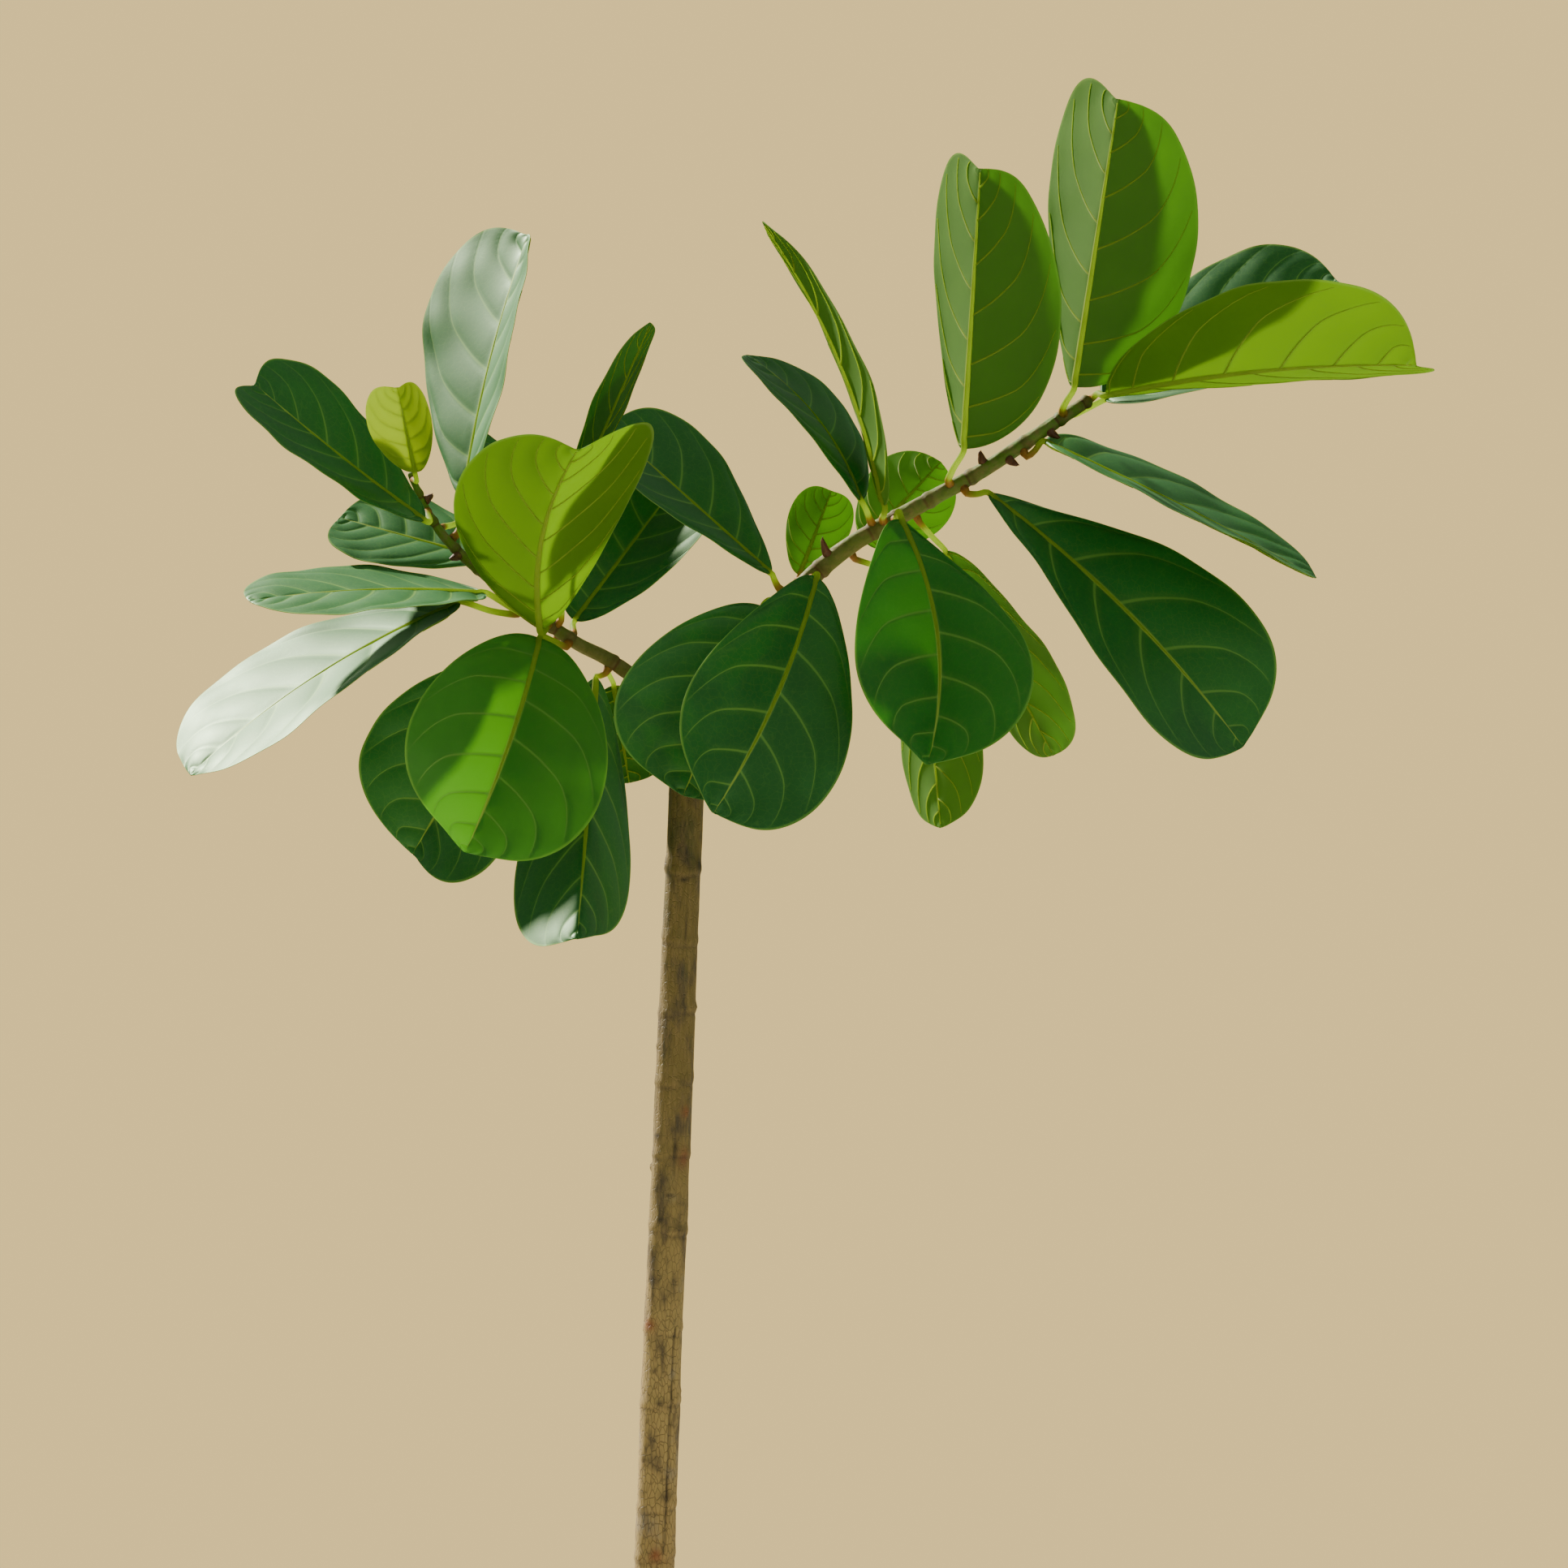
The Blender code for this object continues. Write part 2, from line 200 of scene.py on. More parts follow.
# ----------------------------------------------------------
# Pot. A plain round pot thrown in red clay and fired without a glaze: a thick rim band, a
# slightly tapering wall with faint turning lines, and three drain holes in the floor.
# ----------------------------------------------------------
def stretched(*scales):
    """The place on the object, scaled along each axis."""
    return Paint.node("ShaderNodeVectorMath", {"operation": "MULTIPLY"}, _0=place_in(), _1=scales)


def height_in():
    """How high on the object, in metres."""
    return Paint.node("ShaderNodeSeparateXYZ", out=2, Vector=place_in())


def bumpy(height, strength, distance):
    """Small relief; the distance is how tall it is, in metres."""
    return Paint.node("ShaderNodeBump", Height=height, Strength=strength, Distance=distance)


def show(name, mesh, materials, node, smooth_angle):
    """Put a finished piece in place of its CAD node; edges sharper than the angle stay sharp."""
    piece = bpy.data.objects.new(name, mesh)
    scene.collection.objects.link(piece)
    for material in materials:
        mesh.materials.append(material)
    mesh.shade_smooth()
    mesh.set_sharp_from_angle(angle=math.radians(smooth_angle))
    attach(piece, "root")
    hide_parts(node)


def mesh_of(name, points, faces):
    mesh = bpy.data.meshes.new(name)
    mesh.from_pydata(points, [], faces)
    return mesh


def turned(profile, steps, wobble):
    """A mesh turned about Z from (radius, height) points that run down the outside."""
    angles = np.arange(steps) * 2 * math.pi / steps
    points, rings = [], []
    for radius, height in profile:
        if radius == 0:
            rings.append([len(points)] * steps)
            points.append((0, 0, height))
            continue
        rings.append(list(range(len(points), len(points) + steps)))
        for angle in angles:
            x, y = math.cos(angle), math.sin(angle)
            r = radius + wobble * noise.noise(Vector((x, y, height * 9)))
            points.append((r * x, r * y, height))
    faces = []
    for upper, lower in zip(rings, rings[1:]):
        for i in range(steps):
            j = (i + 1) % steps
            corners = list(dict.fromkeys([upper[i], lower[i], lower[j], upper[j]]))
            if len(corners) > 2:
                faces.append(corners)
    return mesh_of("turned", points, faces)


def rounded(corners, radius, steps=5):
    """The (radius, height) corners with each inner one rounded off."""
    line = [corners[0]]
    for before, corner, after in zip(corners, corners[1:], corners[2:]):
        here = Vector(corner)
        a, b = Vector(before) - here, Vector(after) - here
        reach = min(radius, a.length * 0.45, b.length * 0.45)
        start, end = here + a.normalized() * reach, here + b.normalized() * reach
        for k in range(steps + 1):
            s = k / steps
            line.append(tuple((1 - s) ** 2 * start + 2 * s * (1 - s) * here + s**2 * end))
    return line + [corners[-1]]


POT_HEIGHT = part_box("pot")[1].z
POT_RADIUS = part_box("pot")[1].x
POT_BASE = 0.100
POT_WALL = 0.012
POT_FLOOR = 0.015
RIM_BAND = 0.045
RIM_PROUD = 0.006
RIM_SLOPE = 0.003
LIP = 0.002
OUTER_ROUND, INNER_ROUND = 0.004, 0.003
TURNING_STEPS = 144
THROWN_WOBBLE = 0.0006
DRAIN_HOLES = 3
DRAIN_RADIUS = 0.007
DRAIN_CIRCLE = 0.055
DRAIN_SIDES = 32
DRILL_LENGTH = 0.06


def pot_outer(height):
    """The wall's outer radius under the rim band, at a height."""
    return POT_BASE + (POT_RADIUS - RIM_PROUD - POT_BASE) * height / POT_HEIGHT


def clay():
    material, shader = new_material("fired_clay")
    body = cloudy(9, 4).mix((0.33, 0.115, 0.055), (0.50, 0.205, 0.105))
    body = cloudy(60, 5, 0.7).ease(0.45, 0.75).mix(body, (0.56, 0.27, 0.16))
    height = height_in()
    bloom = cloudy(22, 6, 0.65).ease(0.52, 0.74) * height.ease(0.19, 0.03)
    body = (bloom * 0.45).mix(body, (0.70, 0.55, 0.44))
    grit = cloudy(900, 2)
    body = grit.ease(0.68, 0.78).mix(body, (0.62, 0.40, 0.28))
    lines = cloudy(1, 2, at=stretched(4, 4, 420))
    feed(shader, Base_Color=body, Roughness=cloudy(80).ease(0.3, 0.7, 0.72, 0.92),
         Normal=bumpy(lines * 0.6 + grit * 0.5, 0.35, 0.0008))
    return material


rim_foot = POT_HEIGHT - RIM_BAND
inner_top = pot_outer(POT_HEIGHT) - POT_WALL
pot_profile = rounded([
    (inner_top + LIP, POT_HEIGHT), (POT_RADIUS, POT_HEIGHT), (POT_RADIUS - RIM_SLOPE, rim_foot),
    (pot_outer(rim_foot), rim_foot - RIM_SLOPE), (POT_BASE, 0), (0, 0),
], OUTER_ROUND)
pot_inside = [(0, POT_FLOOR)] + rounded([
    (0.01, POT_FLOOR), (pot_outer(POT_FLOOR) - POT_WALL, POT_FLOOR),
    (inner_top, POT_HEIGHT - 2 * LIP), (inner_top + LIP, POT_HEIGHT),
], INNER_ROUND)
pot_mesh = turned(pot_profile + pot_inside, TURNING_STEPS, THROWN_WOBBLE)
pot_shape = bpy.data.objects.new("pot_shape", pot_mesh)
scene.collection.objects.link(pot_shape)
drills = []
for i in range(DRAIN_HOLES):
    angle = i * 2 * math.pi / DRAIN_HOLES
    bm = bmesh.new()
    bmesh.ops.create_cone(bm, cap_ends=True, segments=DRAIN_SIDES, radius1=DRAIN_RADIUS,
                          radius2=DRAIN_RADIUS, depth=DRILL_LENGTH)
    drill_mesh = bpy.data.meshes.new("drill")
    bm.to_mesh(drill_mesh)
    bm.free()
    drill = bpy.data.objects.new("drill", drill_mesh)
    drill.location = (DRAIN_CIRCLE * math.cos(angle), DRAIN_CIRCLE * math.sin(angle), 0)
    scene.collection.objects.link(drill)
    cut = pot_shape.modifiers.new("drain", "BOOLEAN")
    cut.object = drill
    cut.solver = "EXACT"
    drills.append(drill)
bpy.context.view_layer.update()
pot_mesh = bpy.data.meshes.new_from_object(pot_shape.evaluated_get(
    bpy.context.evaluated_depsgraph_get()))
for helper in (pot_shape, *drills):
    bpy.data.objects.remove(helper)
pot_mesh.materials.clear()
show("clay_pot", pot_mesh, [clay()], "pot", 35)


# ----------------------------------------------------------
# Soil. Dark peaty potting mix pressed up round the trunk, crumbly, with bits of bark and a few
# white perlite grains lying on it.
# ----------------------------------------------------------
SOIL_TOP = 0.240
SOIL_MOUND = 0.007
SOIL_GAP = 0.0004
SOIL_RADIUS = pot_outer(SOIL_TOP) - POT_WALL - SOIL_GAP
SOIL_RINGS, SOIL_STEPS = 56, 128
SOIL_DEPTHS = (0.2, 0.12, 0.0155)
GRAINS = 1100
# the least and greatest size of a crumb or a perlite grain, and of a bark chip
CRUMB_SIZE, CHIP_SIZE = (0.0012, 0.0032), (0.002, 0.0046)


def soil_height(x, y):
    """The height of the lumpy surface, which levels out at the pot's wall."""
    r = min(1.0, math.hypot(x, y) / SOIL_RADIUS)
    edge = 1 - r**6
    rough = noise.fractal(Vector((x, y, 0)) * 55, 0.8, 2.1, 4) * 0.0035
    lumps = noise.noise(Vector((x, y, 3)) * 24) * 0.004
    return SOIL_TOP + SOIL_MOUND * (1 - r) ** 1.5 + (rough + lumps) * edge


def cells(scale, feature="F1", at=None):
    """A mesh of cells: the distance to the middle of each, or to its edge."""
    return Paint.node("ShaderNodeTexVoronoi", {"feature": feature}, Vector=at or place_in(),
                      Scale=scale)


def crumb(bm, spot, size, rng, material):
    """One angular grain."""
    made = bmesh.ops.create_icosphere(bm, subdivisions=1, radius=size)["verts"]
    squash = Vector(rng.uniform(0.6, 1.25, 3))
    turn = Matrix.Rotation(rng.uniform(0, 6.28), 3, Vector(rng.normal(0, 1, 3)).normalized())
    for vert in made:
        vert.co = spot + turn @ (vert.co * rng.uniform(0.82, 1.15) * squash)
    for face in {face for vert in made for face in vert.link_faces}:
        face.material_index = material


def soil_ring(bm, radius, depth=None):
    """A ring of points on the surface, or lower down at the pot's wall."""
    ring = []
    for k in range(SOIL_STEPS):
        angle = k * 2 * math.pi / SOIL_STEPS
        x, y = radius * math.cos(angle), radius * math.sin(angle)
        ring.append(bm.verts.new((x, y, soil_height(x, y) if depth is None else depth)))
    return ring


def make_soil():
    """The packed soil as one closed lump, with loose grains lying on it."""
    bm = bmesh.new()
    circles = [[bm.verts.new((0, 0, soil_height(0, 0)))] * SOIL_STEPS]
    circles += [soil_ring(bm, SOIL_RADIUS * i / SOIL_RINGS) for i in range(1, SOIL_RINGS + 1)]
    circles += [soil_ring(bm, pot_outer(z) - POT_WALL - SOIL_GAP, z) for z in SOIL_DEPTHS]
    for inner, outer in zip(circles, circles[1:]):
        for k in range(SOIL_STEPS):
            n = (k + 1) % SOIL_STEPS
            bm.faces.new(list(dict.fromkeys([inner[k], outer[k], outer[n], inner[n]])))
    bm.faces.new(circles[-1][::-1])
    bmesh.ops.recalc_face_normals(bm, faces=bm.faces)
    rng = np.random.default_rng(7)
    for i in range(GRAINS):
        r = SOIL_RADIUS * 0.97 * math.sqrt(rng.uniform(0.02, 1))
        angle = rng.uniform(0, 2 * math.pi)
        x, y = r * math.cos(angle), r * math.sin(angle)
        kind = 2 if i % 22 == 0 else 1 if i % 5 == 0 else 0
        size = rng.uniform(*(CHIP_SIZE if kind == 1 else CRUMB_SIZE))
        crumb(bm, Vector((x, y, soil_height(x, y) + size * 0.35)), size, rng, kind)
    mesh = bpy.data.meshes.new("soil")
    bm.to_mesh(mesh)
    bm.free()
    return mesh


def peat():
    material, shader = new_material("peat")
    body = cloudy(70, 5, 0.7).ease(0.3, 0.7).mix((0.012, 0.007, 0.004), (0.055, 0.034, 0.020))
    body = cells(420).ease(0.1, 0.5).mix((0.075, 0.050, 0.032), body)
    feed(shader, Base_Color=body, Roughness=0.95, Normal=bumpy(cloudy(520, 5, 0.75), 0.9, 0.0015))
    return material


def bark_chip():
    material, shader = new_material("bark_chips")
    grain = cloudy(1, 4, at=stretched(900, 260, 900))
    feed(shader, Base_Color=grain.mix((0.045, 0.020, 0.010), (0.15, 0.075, 0.035)), Roughness=0.85,
         Normal=bumpy(grain, 0.6, 0.0006))
    return material


def perlite():
    material, shader = new_material("perlite")
    feed(shader, Base_Color=cloudy(500).mix((0.55, 0.52, 0.46), (0.80, 0.78, 0.73)), Roughness=0.9,
         Normal=bumpy(cells(900), 0.6, 0.0006))
    return material


show("potting_soil", make_soil(), [peat(), bark_chip(), perlite()], "soil", 30)


# ----------------------------------------------------------
# Trunk. One woody stem, bare to the fork: thin olive-brown bark that turns tan and crackled low
# down, with rings and oval scars where old leaves fell, one long dry crack and a pruned top. The
# darker upper bark is partly painted shade from the crown, and the ring grooves and crack hold
# painted shade.
# ----------------------------------------------------------
MM = 0.001
TRUNK_ROUTE = (
    ((-2, 0, 110), 18.0),
    ((0, 0, 245), 15.6),
    ((5, 0, 380), 14.9),
    ((11, 0, 545), 14.4),
    ((18, 0, 700), 13.9),
    ((24, 0, 850), 13.2),
    ((28, 0, 935), 12.8),
    ((30, 0, 1000), 13.6),
)
# each mark: height, degrees round from the front, half width, half height, rise, how dark
TRUNK_MARKS = (
    (900, 62, 4, 5, 1.3, 1), (900, -82, 3, 5, 1.4, 0.8), (889, 8, 5, 1, -0.5, 0.9),
    (853, 20, 1, 14, -0.5, 0.7), (796, 85, 2, 2, 1.3, 0.5), (765, -80, 2, 1.5, 1.6, 0.5),
    (741, 30, 5, 2, 0.5, 0.5), (718, 43, 3.5, 4, 1.0, -0.8), (700, -49, 4, 2.5, 0.8, 1),
    (691, 13, 1.6, 8, -1.6, 1), (684, 45, 5, 7, 0.3, -0.7), (676, -88, 2, 2.5, 2.4, 0.6),
    (661, -47, 4, 1.2, 0.6, 0.9), (657, 6, 4.5, 0.8, -0.5, 1), (651, -8, 3, 0.8, -0.3, 0.8),
    (639, -22, 3, 3.5, 1.2, 1), (632, 40, 7, 2, 0.4, 0.7), (612, -38, 5, 8, 0.4, 0.5),
    (595, -40, 4, 5, 0.3, 0.6), (561, -42, 5, 4.5, 1.6, -1), (548, 66, 3, 2, 0.8, 0.6),
    (528, -21, 3, 2, 0.5, 0.7), (504, 0, 4, 3, 0.9, 1), (512, 88, 2, 1.5, 1.2, 0.5),
    (490, -35, 3, 2, 0.3, 0.6), (462, -40, 4, 2.5, 0.4, 0.7), (435, 27, 6, 4.5, 1.3, 0.8),
    (437, -50, 4, 3, 0.5, 0.5), (392, 4, 4, 5, 1.1, -0.9), (356, 40, 5, 3.5, 1.0, 0.8),
    (330, -25, 4, 4, 1.2, -0.8), (302, 15, 5, 4, 1.0, 0.9), (276, -55, 5, 4, 1.1, 0.7),
    (870, 170, 4, 4, 1.2, 0.9), (812, -150, 4, 3, 1.1, 0.8), (752, 140, 4, 4, 1.2, -0.8),
    (690, -170, 4, 3, 1.1, 1), (640, 125, 5, 3, 1.0, 0.8), (583, -130, 4, 4, 1.3, 0.9),
    (520, 160, 5, 4, 1.2, -0.7), (470, -160, 5, 4, 1.1, 0.9), (408, 130, 5, 4, 1.2, 0.8),
    (345, -140, 5, 4, 1.1, 0.9), (290, 150, 5, 4, 1.2, 0.7),
)
TRUNK_RINGS = (897, 846, 792, 741, 686, 632, 558, 503, 427, 390, 334, 292)
RING_WAVER, RING_WIDTH = 2.2, 4
# the long crack's middle line: height, degrees round from the front
CRACK = ((559, 38), (520, 36), (490, 32), (460, 32), (425, 29), (392, 27))
CRACK_DEPTH, CRACK_WIDTH = 1.1, 3.2
STAIN_RADIUS = 14
TRUNK_STEP, TRUNK_SIDES = 2.6 * MM, 72


def curve_through(route, step):
    """Points about every `step` along a smooth curve through the route, with their radii."""
    points = [Vector(place_mm) * MM for place_mm, _ in route]
    radii = [radius * MM for _, radius in route]
    points = [2 * points[0] - points[1], *points, 2 * points[-1] - points[-2]]
    line = []
    for i, (a, b, c, d) in enumerate(zip(points, points[1:], points[2:], points[3:])):
        count = max(1, round((c - b).length / step))
        for k in range(count):
            s = k / count
            spot = (2 * b + (c - a) * s + (2 * a - 5 * b + 4 * c - d) * s**2
                    + (3 * b - a - 3 * c + d) * s**3) / 2
            line.append((spot, radii[i] + (radii[i + 1] - radii[i]) * s))
    line.append((points[-2], radii[-1]))
    return line


def swept(line, sides, skin=None):
    """The points and faces of a closed tube along (spot, radius) points.

    `skin(spot, angle, radius)` adds to the radius; the angle is in degrees from the front.
    """
    spots = [spot for spot, _ in line]
    first = (spots[1] - spots[0]).normalized()
    front = Vector((0, -1, 0)) if abs(first.y) < 0.8 else first.orthogonal()
    angles = [i * 360 / sides for i in range(sides)]
    points = []
    for i, (spot, radius) in enumerate(line):
        run = (spots[min(i + 1, len(spots) - 1)] - spots[max(i - 1, 0)]).normalized()
        front = (front - run * front.dot(run)).normalized()
        side = run.cross(front)
        for angle in angles:
            out = front * math.cos(math.radians(angle)) + side * math.sin(math.radians(angle))
            points.append(spot + out * (radius + (skin(spot, angle, radius) if skin else 0)))
    faces = []
    for i in range(len(line) - 1):
        for k in range(sides):
            a, b = i * sides + k, i * sides + (k + 1) % sides
            faces.append((a, b, b + sides, a + sides))
    faces.append(tuple(range(sides))[::-1])
    faces.append(tuple(range((len(line) - 1) * sides, len(line) * sides)))
    return points, faces


def rounded_end(line, bulge, turns):
    """The line with an end that closes in a dome; `bulge` is its height over its radius."""
    last, radius = line[-1]
    run = (last - line[-2][0]).normalized()
    return line + [(last + run * radius * bulge * math.sin(a), radius * math.cos(a))
                   for a in turns]


def set_values(mesh, **values):
    """Store one number per point, for the material to read."""
    for name, numbers in values.items():
        stored = mesh.attributes.new(name, "FLOAT", "POINT")
        stored.data.foreach_set("value", np.asarray(numbers, dtype=np.float32))


def value_of(name):
    """A number stored on the mesh."""
    return Paint.node("ShaderNodeAttribute", {"attribute_name": name}, out=2)


def apart(a, b):
    """The smallest turn between two angles in degrees."""
    return (a - b + 180) % 360 - 180


def around(angle):
    """The level direction at an angle in degrees."""
    return Vector((math.cos(math.radians(angle)), math.sin(math.radians(angle)), 0))


def ring_height(ring, angle):
    """The height of a leaf ring, which wavers round the stem."""
    return ring + RING_WAVER * math.sin(math.radians(angle) + ring)


def marks_near(height, angle, radius):
    """The marks about this height: how far off each middle the spot is, its rise, how dark."""
    for place_z, place_angle, wide, tall, lift, shade in TRUNK_MARKS:
        if abs(height - place_z) <= 4 * tall:
            off = (math.radians(apart(angle, place_angle)) * radius / wide) ** 2
            yield off + ((height - place_z) / tall) ** 2, lift, shade


def crack_at(height, angle):
    """How deep in the crack a spot is, from 0 to 1."""
    for (top, here), (bottom, there) in zip(CRACK, CRACK[1:]):
        if bottom <= height <= top:
            s = (top - height) / (top - bottom)
            middle = here + (there - here) * s + 2.5 * noise.noise(Vector((0, 5, height / 7)))
            return math.exp(-(apart(angle, middle) / CRACK_WIDTH) ** 2)
    return 0


def trunk_skin(spot, angle, radius):
    """The bark's relief: faint lumps and fibres, rings, scars, knobs and the crack."""
    height = spot.z / MM
    turn = around(angle)
    rise = noise.noise(turn * 1.6 + Vector((0, 0, height / 34))) * 0.55
    rise += noise.noise(turn * 5.5 + Vector((0, 0, height / 26))) * 0.22
    rise += noise.noise(turn * 14 + Vector((0, 0, height / 5))) * 0.14
    for ring in TRUNK_RINGS:
        over = height - ring_height(ring, angle)
        rise += 0.65 * math.exp(-(over / RING_WIDTH) ** 2)
        rise -= 0.5 * math.exp(-((over + RING_WIDTH) / 1.3) ** 2)
    for off, lift, _ in marks_near(height, angle, radius / MM):
        pit = 0.9 * math.exp(-5 * off) if 0 < lift < 2 else 0
        rise += lift * (math.exp(-off) - pit)
    return (rise - CRACK_DEPTH * crack_at(height, angle)) * MM


def trunk_stains_and_shade(spot, centre_x):
    """How dark and how rusty the bark is at a point; ring grooves and the crack get painted shade.
    """
    height = spot.z / MM
    angle = math.degrees(math.atan2(spot.x - centre_x, -spot.y))
    dark = rusty = 0.0
    for off, _, shade in marks_near(height, angle, STAIN_RADIUS):
        dark += max(0, shade) * math.exp(-off * 1.4)
        rusty += max(0, -shade) * math.exp(-off)
    # painted shade: the groove under each ring and, below, the crack are darkened
    for ring in TRUNK_RINGS:
        over = height - ring_height(ring, angle)
        dark += 0.5 * math.exp(-((over + RING_WIDTH) / 1.2) ** 2)
    return min(1, dark + crack_at(height, angle)), min(1, rusty)


def bark():
    material, shader = new_material("trunk_bark")
    height = height_in()
    fibre = cloudy(1, 5, 0.6, at=stretched(420, 420, 60))
    blotch = cloudy(1, 4, 0.6, at=stretched(60, 60, 26))
    # darker olive-brown high up, tan low down: the darker top is partly the bark's colour, partly
    # painted shade from the crown
    low = (height + (blotch - 0.5) * 0.25).ease(0.75, 0.50)
    body = low.mix((0.165, 0.108, 0.022), (0.350, 0.238, 0.078))
    body = blotch.ease(0.50, 0.72).mix(body, (0.055, 0.036, 0.016))
    moss = cloudy(1, 3, at=stretched(70, 70, 20)).ease(0.52, 0.75) * height.ease(0.55, 0.95)
    body = (moss * 0.7).mix(body, (0.060, 0.062, 0.014))
    grey = cloudy(38, 4).ease(0.55, 0.72) * low
    body = (grey * 0.6).mix(body, (0.24, 0.20, 0.15))
    body = fibre.ease(0.35, 0.75, 0, 0.55).mix(body, (0.29, 0.19, 0.08))
    seams = cells(1, "DISTANCE_TO_EDGE", at=stretched(330, 330, 150)).ease(0.09, 0.0)
    body = (seams * low * 0.55).mix(body, (0.050, 0.030, 0.014))
    body = value_of("rusty").mix(body, (0.230, 0.070, 0.020))
    # darker scars, with painted shade in the ring grooves and the crack
    body = (value_of("dark") * 0.85).mix(body, (0.016, 0.009, 0.005))
    grain = fibre * 0.6 + seams * -0.5 + cloudy(700, 4) * 0.5
    feed(shader, Base_Color=body, Roughness=fibre.ease(0.3, 0.7, 0.62, 0.85),
         Normal=bumpy(grain, 0.7, 0.0008))
    return material


def make_trunk():
    """The bare stem up to its pruned, slightly domed top."""
    line = curve_through(TRUNK_ROUTE, TRUNK_STEP)
    line = rounded_end(line, 0.35, (0.35, 0.7, 1.0, 1.25, 1.42))
    points, faces = swept(line, TRUNK_SIDES, trunk_skin)
    mesh = mesh_of("trunk", points, faces)
    dark, rusty = zip(*(trunk_stains_and_shade(point, line[i // TRUNK_SIDES][0].x)
                        for i, point in enumerate(points)))
    set_values(mesh, dark=dark, rusty=rusty)
    return mesh


show("bare_trunk", make_trunk(), [bark()], "trunk", 50)


# ----------------------------------------------------------
# Branches. Two younger shoots that left the trunk just under its pruned top: grey-green bark,
# browner towards the trunk, ringed at each leaf joint, with swollen joints and small pores.
# ----------------------------------------------------------
LEFT_ROUTE = (
    ((22.2, 0, 1001), 5.2),
    ((22.2, 0, 1010), 5.2),
    ((3, -4, 1029), 5.2),
    ((-28, -9, 1051), 5.4),
    ((-56, -12, 1066), 4.8),
    ((-97, -18, 1096), 4.4),
    ((-137, -22, 1129), 3.7),
    ((-157, -26, 1153), 3.1),
    ((-169, -31, 1178), 2.5),
    ((-172, -34, 1186), 2.4),
)
RIGHT_ROUTE = (
    ((35.5, 0, 1001), 7.4),
    ((35.5, 0, 1010), 7.4),
    ((57, 1, 1046), 7.4),
    ((103, 3, 1095), 7.4),
    ((148, 5, 1135), 6.6),
    ((205, 8, 1168), 6.0),
    ((251, 10, 1194), 5.6),
    ((308, 14, 1232), 4.8),
    ((326, 16, 1244), 4.6),
)
SHOOT_STEP, SHOOT_SIDES = 1.6 * MM, 36
FLARE, FLARE_LENGTH = 0.34, 9 * MM
LEFT_JOINTS = (0.16, 0.27, 0.40, 0.45, 0.53, 0.61, 0.69, 0.77, 0.86, 0.94)
RIGHT_JOINTS = (0.12, 0.22, 0.33, 0.40, 0.52, 0.57, 0.64, 0.73, 0.85, 0.93, 0.99)


def green_bark():
    material, shader = new_material("branch_bark")
    joint = value_of("joint")
    age = value_of("age")
    fibre = cloudy(1, 4, 0.6, at=stretched(260, 400, 260))
    body = age.mix((0.170, 0.115, 0.026), (0.120, 0.220, 0.030))
    body = cloudy(110, 4, 0.6).ease(0.42, 0.68).mix(body, (0.210, 0.170, 0.050))
    body = fibre.ease(0.5, 0.8, 0, 0.5).mix(body, (0.055, 0.060, 0.020))
    pores = cells(520).ease(0.16, 0.05)
    body = (pores * 0.6).mix(body, (0.30, 0.22, 0.12))
    body = (joint * 0.8).mix(body, (0.100, 0.030, 0.012))
    feed(shader, Base_Color=body, Roughness=fibre.ease(0.3, 0.7, 0.6, 0.8),
         Normal=bumpy(fibre + pores * 0.6, 0.5, 0.0006), Specular_IOR_Level=0.2)
    return material


def make_branch(side, route, joints):
    """A shoot with a flared foot, joint rings and a rounded end."""
    line = curve_through(route, SHOOT_STEP)
    start, foot_radius = line[0]
    line = [(start - Vector((0, 0, 5 * MM)), foot_radius), *line]
    line = rounded_end(line, 0.8, (0.4, 0.8, 1.15, 1.4))
    gone = [0.0]
    for (before, _), (here, _) in zip(line, line[1:]):
        gone.append(gone[-1] + (here - before).length)
    shares = [g / gone[-1] for g in gone]
    shaped, rings = [], []
    for (spot, radius), share, length in zip(line, shares, gone):
        flare = 1 + FLARE * math.exp(-(length / FLARE_LENGTH) ** 2)
        ring = sum(math.exp(-((share - j) * gone[-1] / (2.6 * MM)) ** 2) for j in joints)
        groove = sum(math.exp(-(((share - j) * gone[-1] + 3.4 * MM) / (0.9 * MM)) ** 2)
                     for j in joints)
        shaped.append((spot, radius * flare + (0.75 * ring - 0.45 * groove) * MM))
        rings.append(min(1, ring * 0.5 + groove))

    def skin(spot, angle, _):
        turn = around(angle)
        return noise.noise(turn * 1.5 + spot * 90) * 0.35 * MM + noise.noise(
            turn * 6 + spot * 60) * 0.16 * MM

    points, faces = swept(shaped, SHOOT_SIDES, skin)
    mesh = mesh_of(side + "_branch", points, faces)
    set_values(mesh, joint=np.repeat(rings, SHOOT_SIDES), age=np.repeat(shares, SHOOT_SIDES))
    return mesh


twig_bark = green_bark()
show("left_shoot", make_branch("left", LEFT_ROUTE, LEFT_JOINTS), [twig_bark],
     "left_branch", 50)
show("right_shoot", make_branch("right", RIGHT_ROUTE, RIGHT_JOINTS), [twig_bark],
     "right_branch", 50)


# ----------------------------------------------------------
# Leaves. Thick, leathery, fiddle-shaped blades: dark and waxy above, paler and matt below, with
# a stout yellow-green rib and side veins that stand out underneath and are pressed in on top.
# Each hangs on a short stalk with a swollen orange-brown foot.
# ----------------------------------------------------------
LEAF_THICKNESS = 0.9 * MM
LEAF_EDGE = 1.0 * MM
STALK_FOOT = 5 * MM
STALK_SIDES = 14
# the stalk's radii from its foot on the branch to the blade's heel
STALK_RADII = (3.5, 3.3, 2.7, 2.35, 2.3)
RIB_POINTS = 26
VEIN_LEAN = 1.9
SIDE_VEINS = 8.5
VEIN_POINTS, VEIN_SIDES = 16, 6
BLADE_COLUMNS, BLADE_ROWS = 45, 97
BRANCH_STEP = 16 * MM


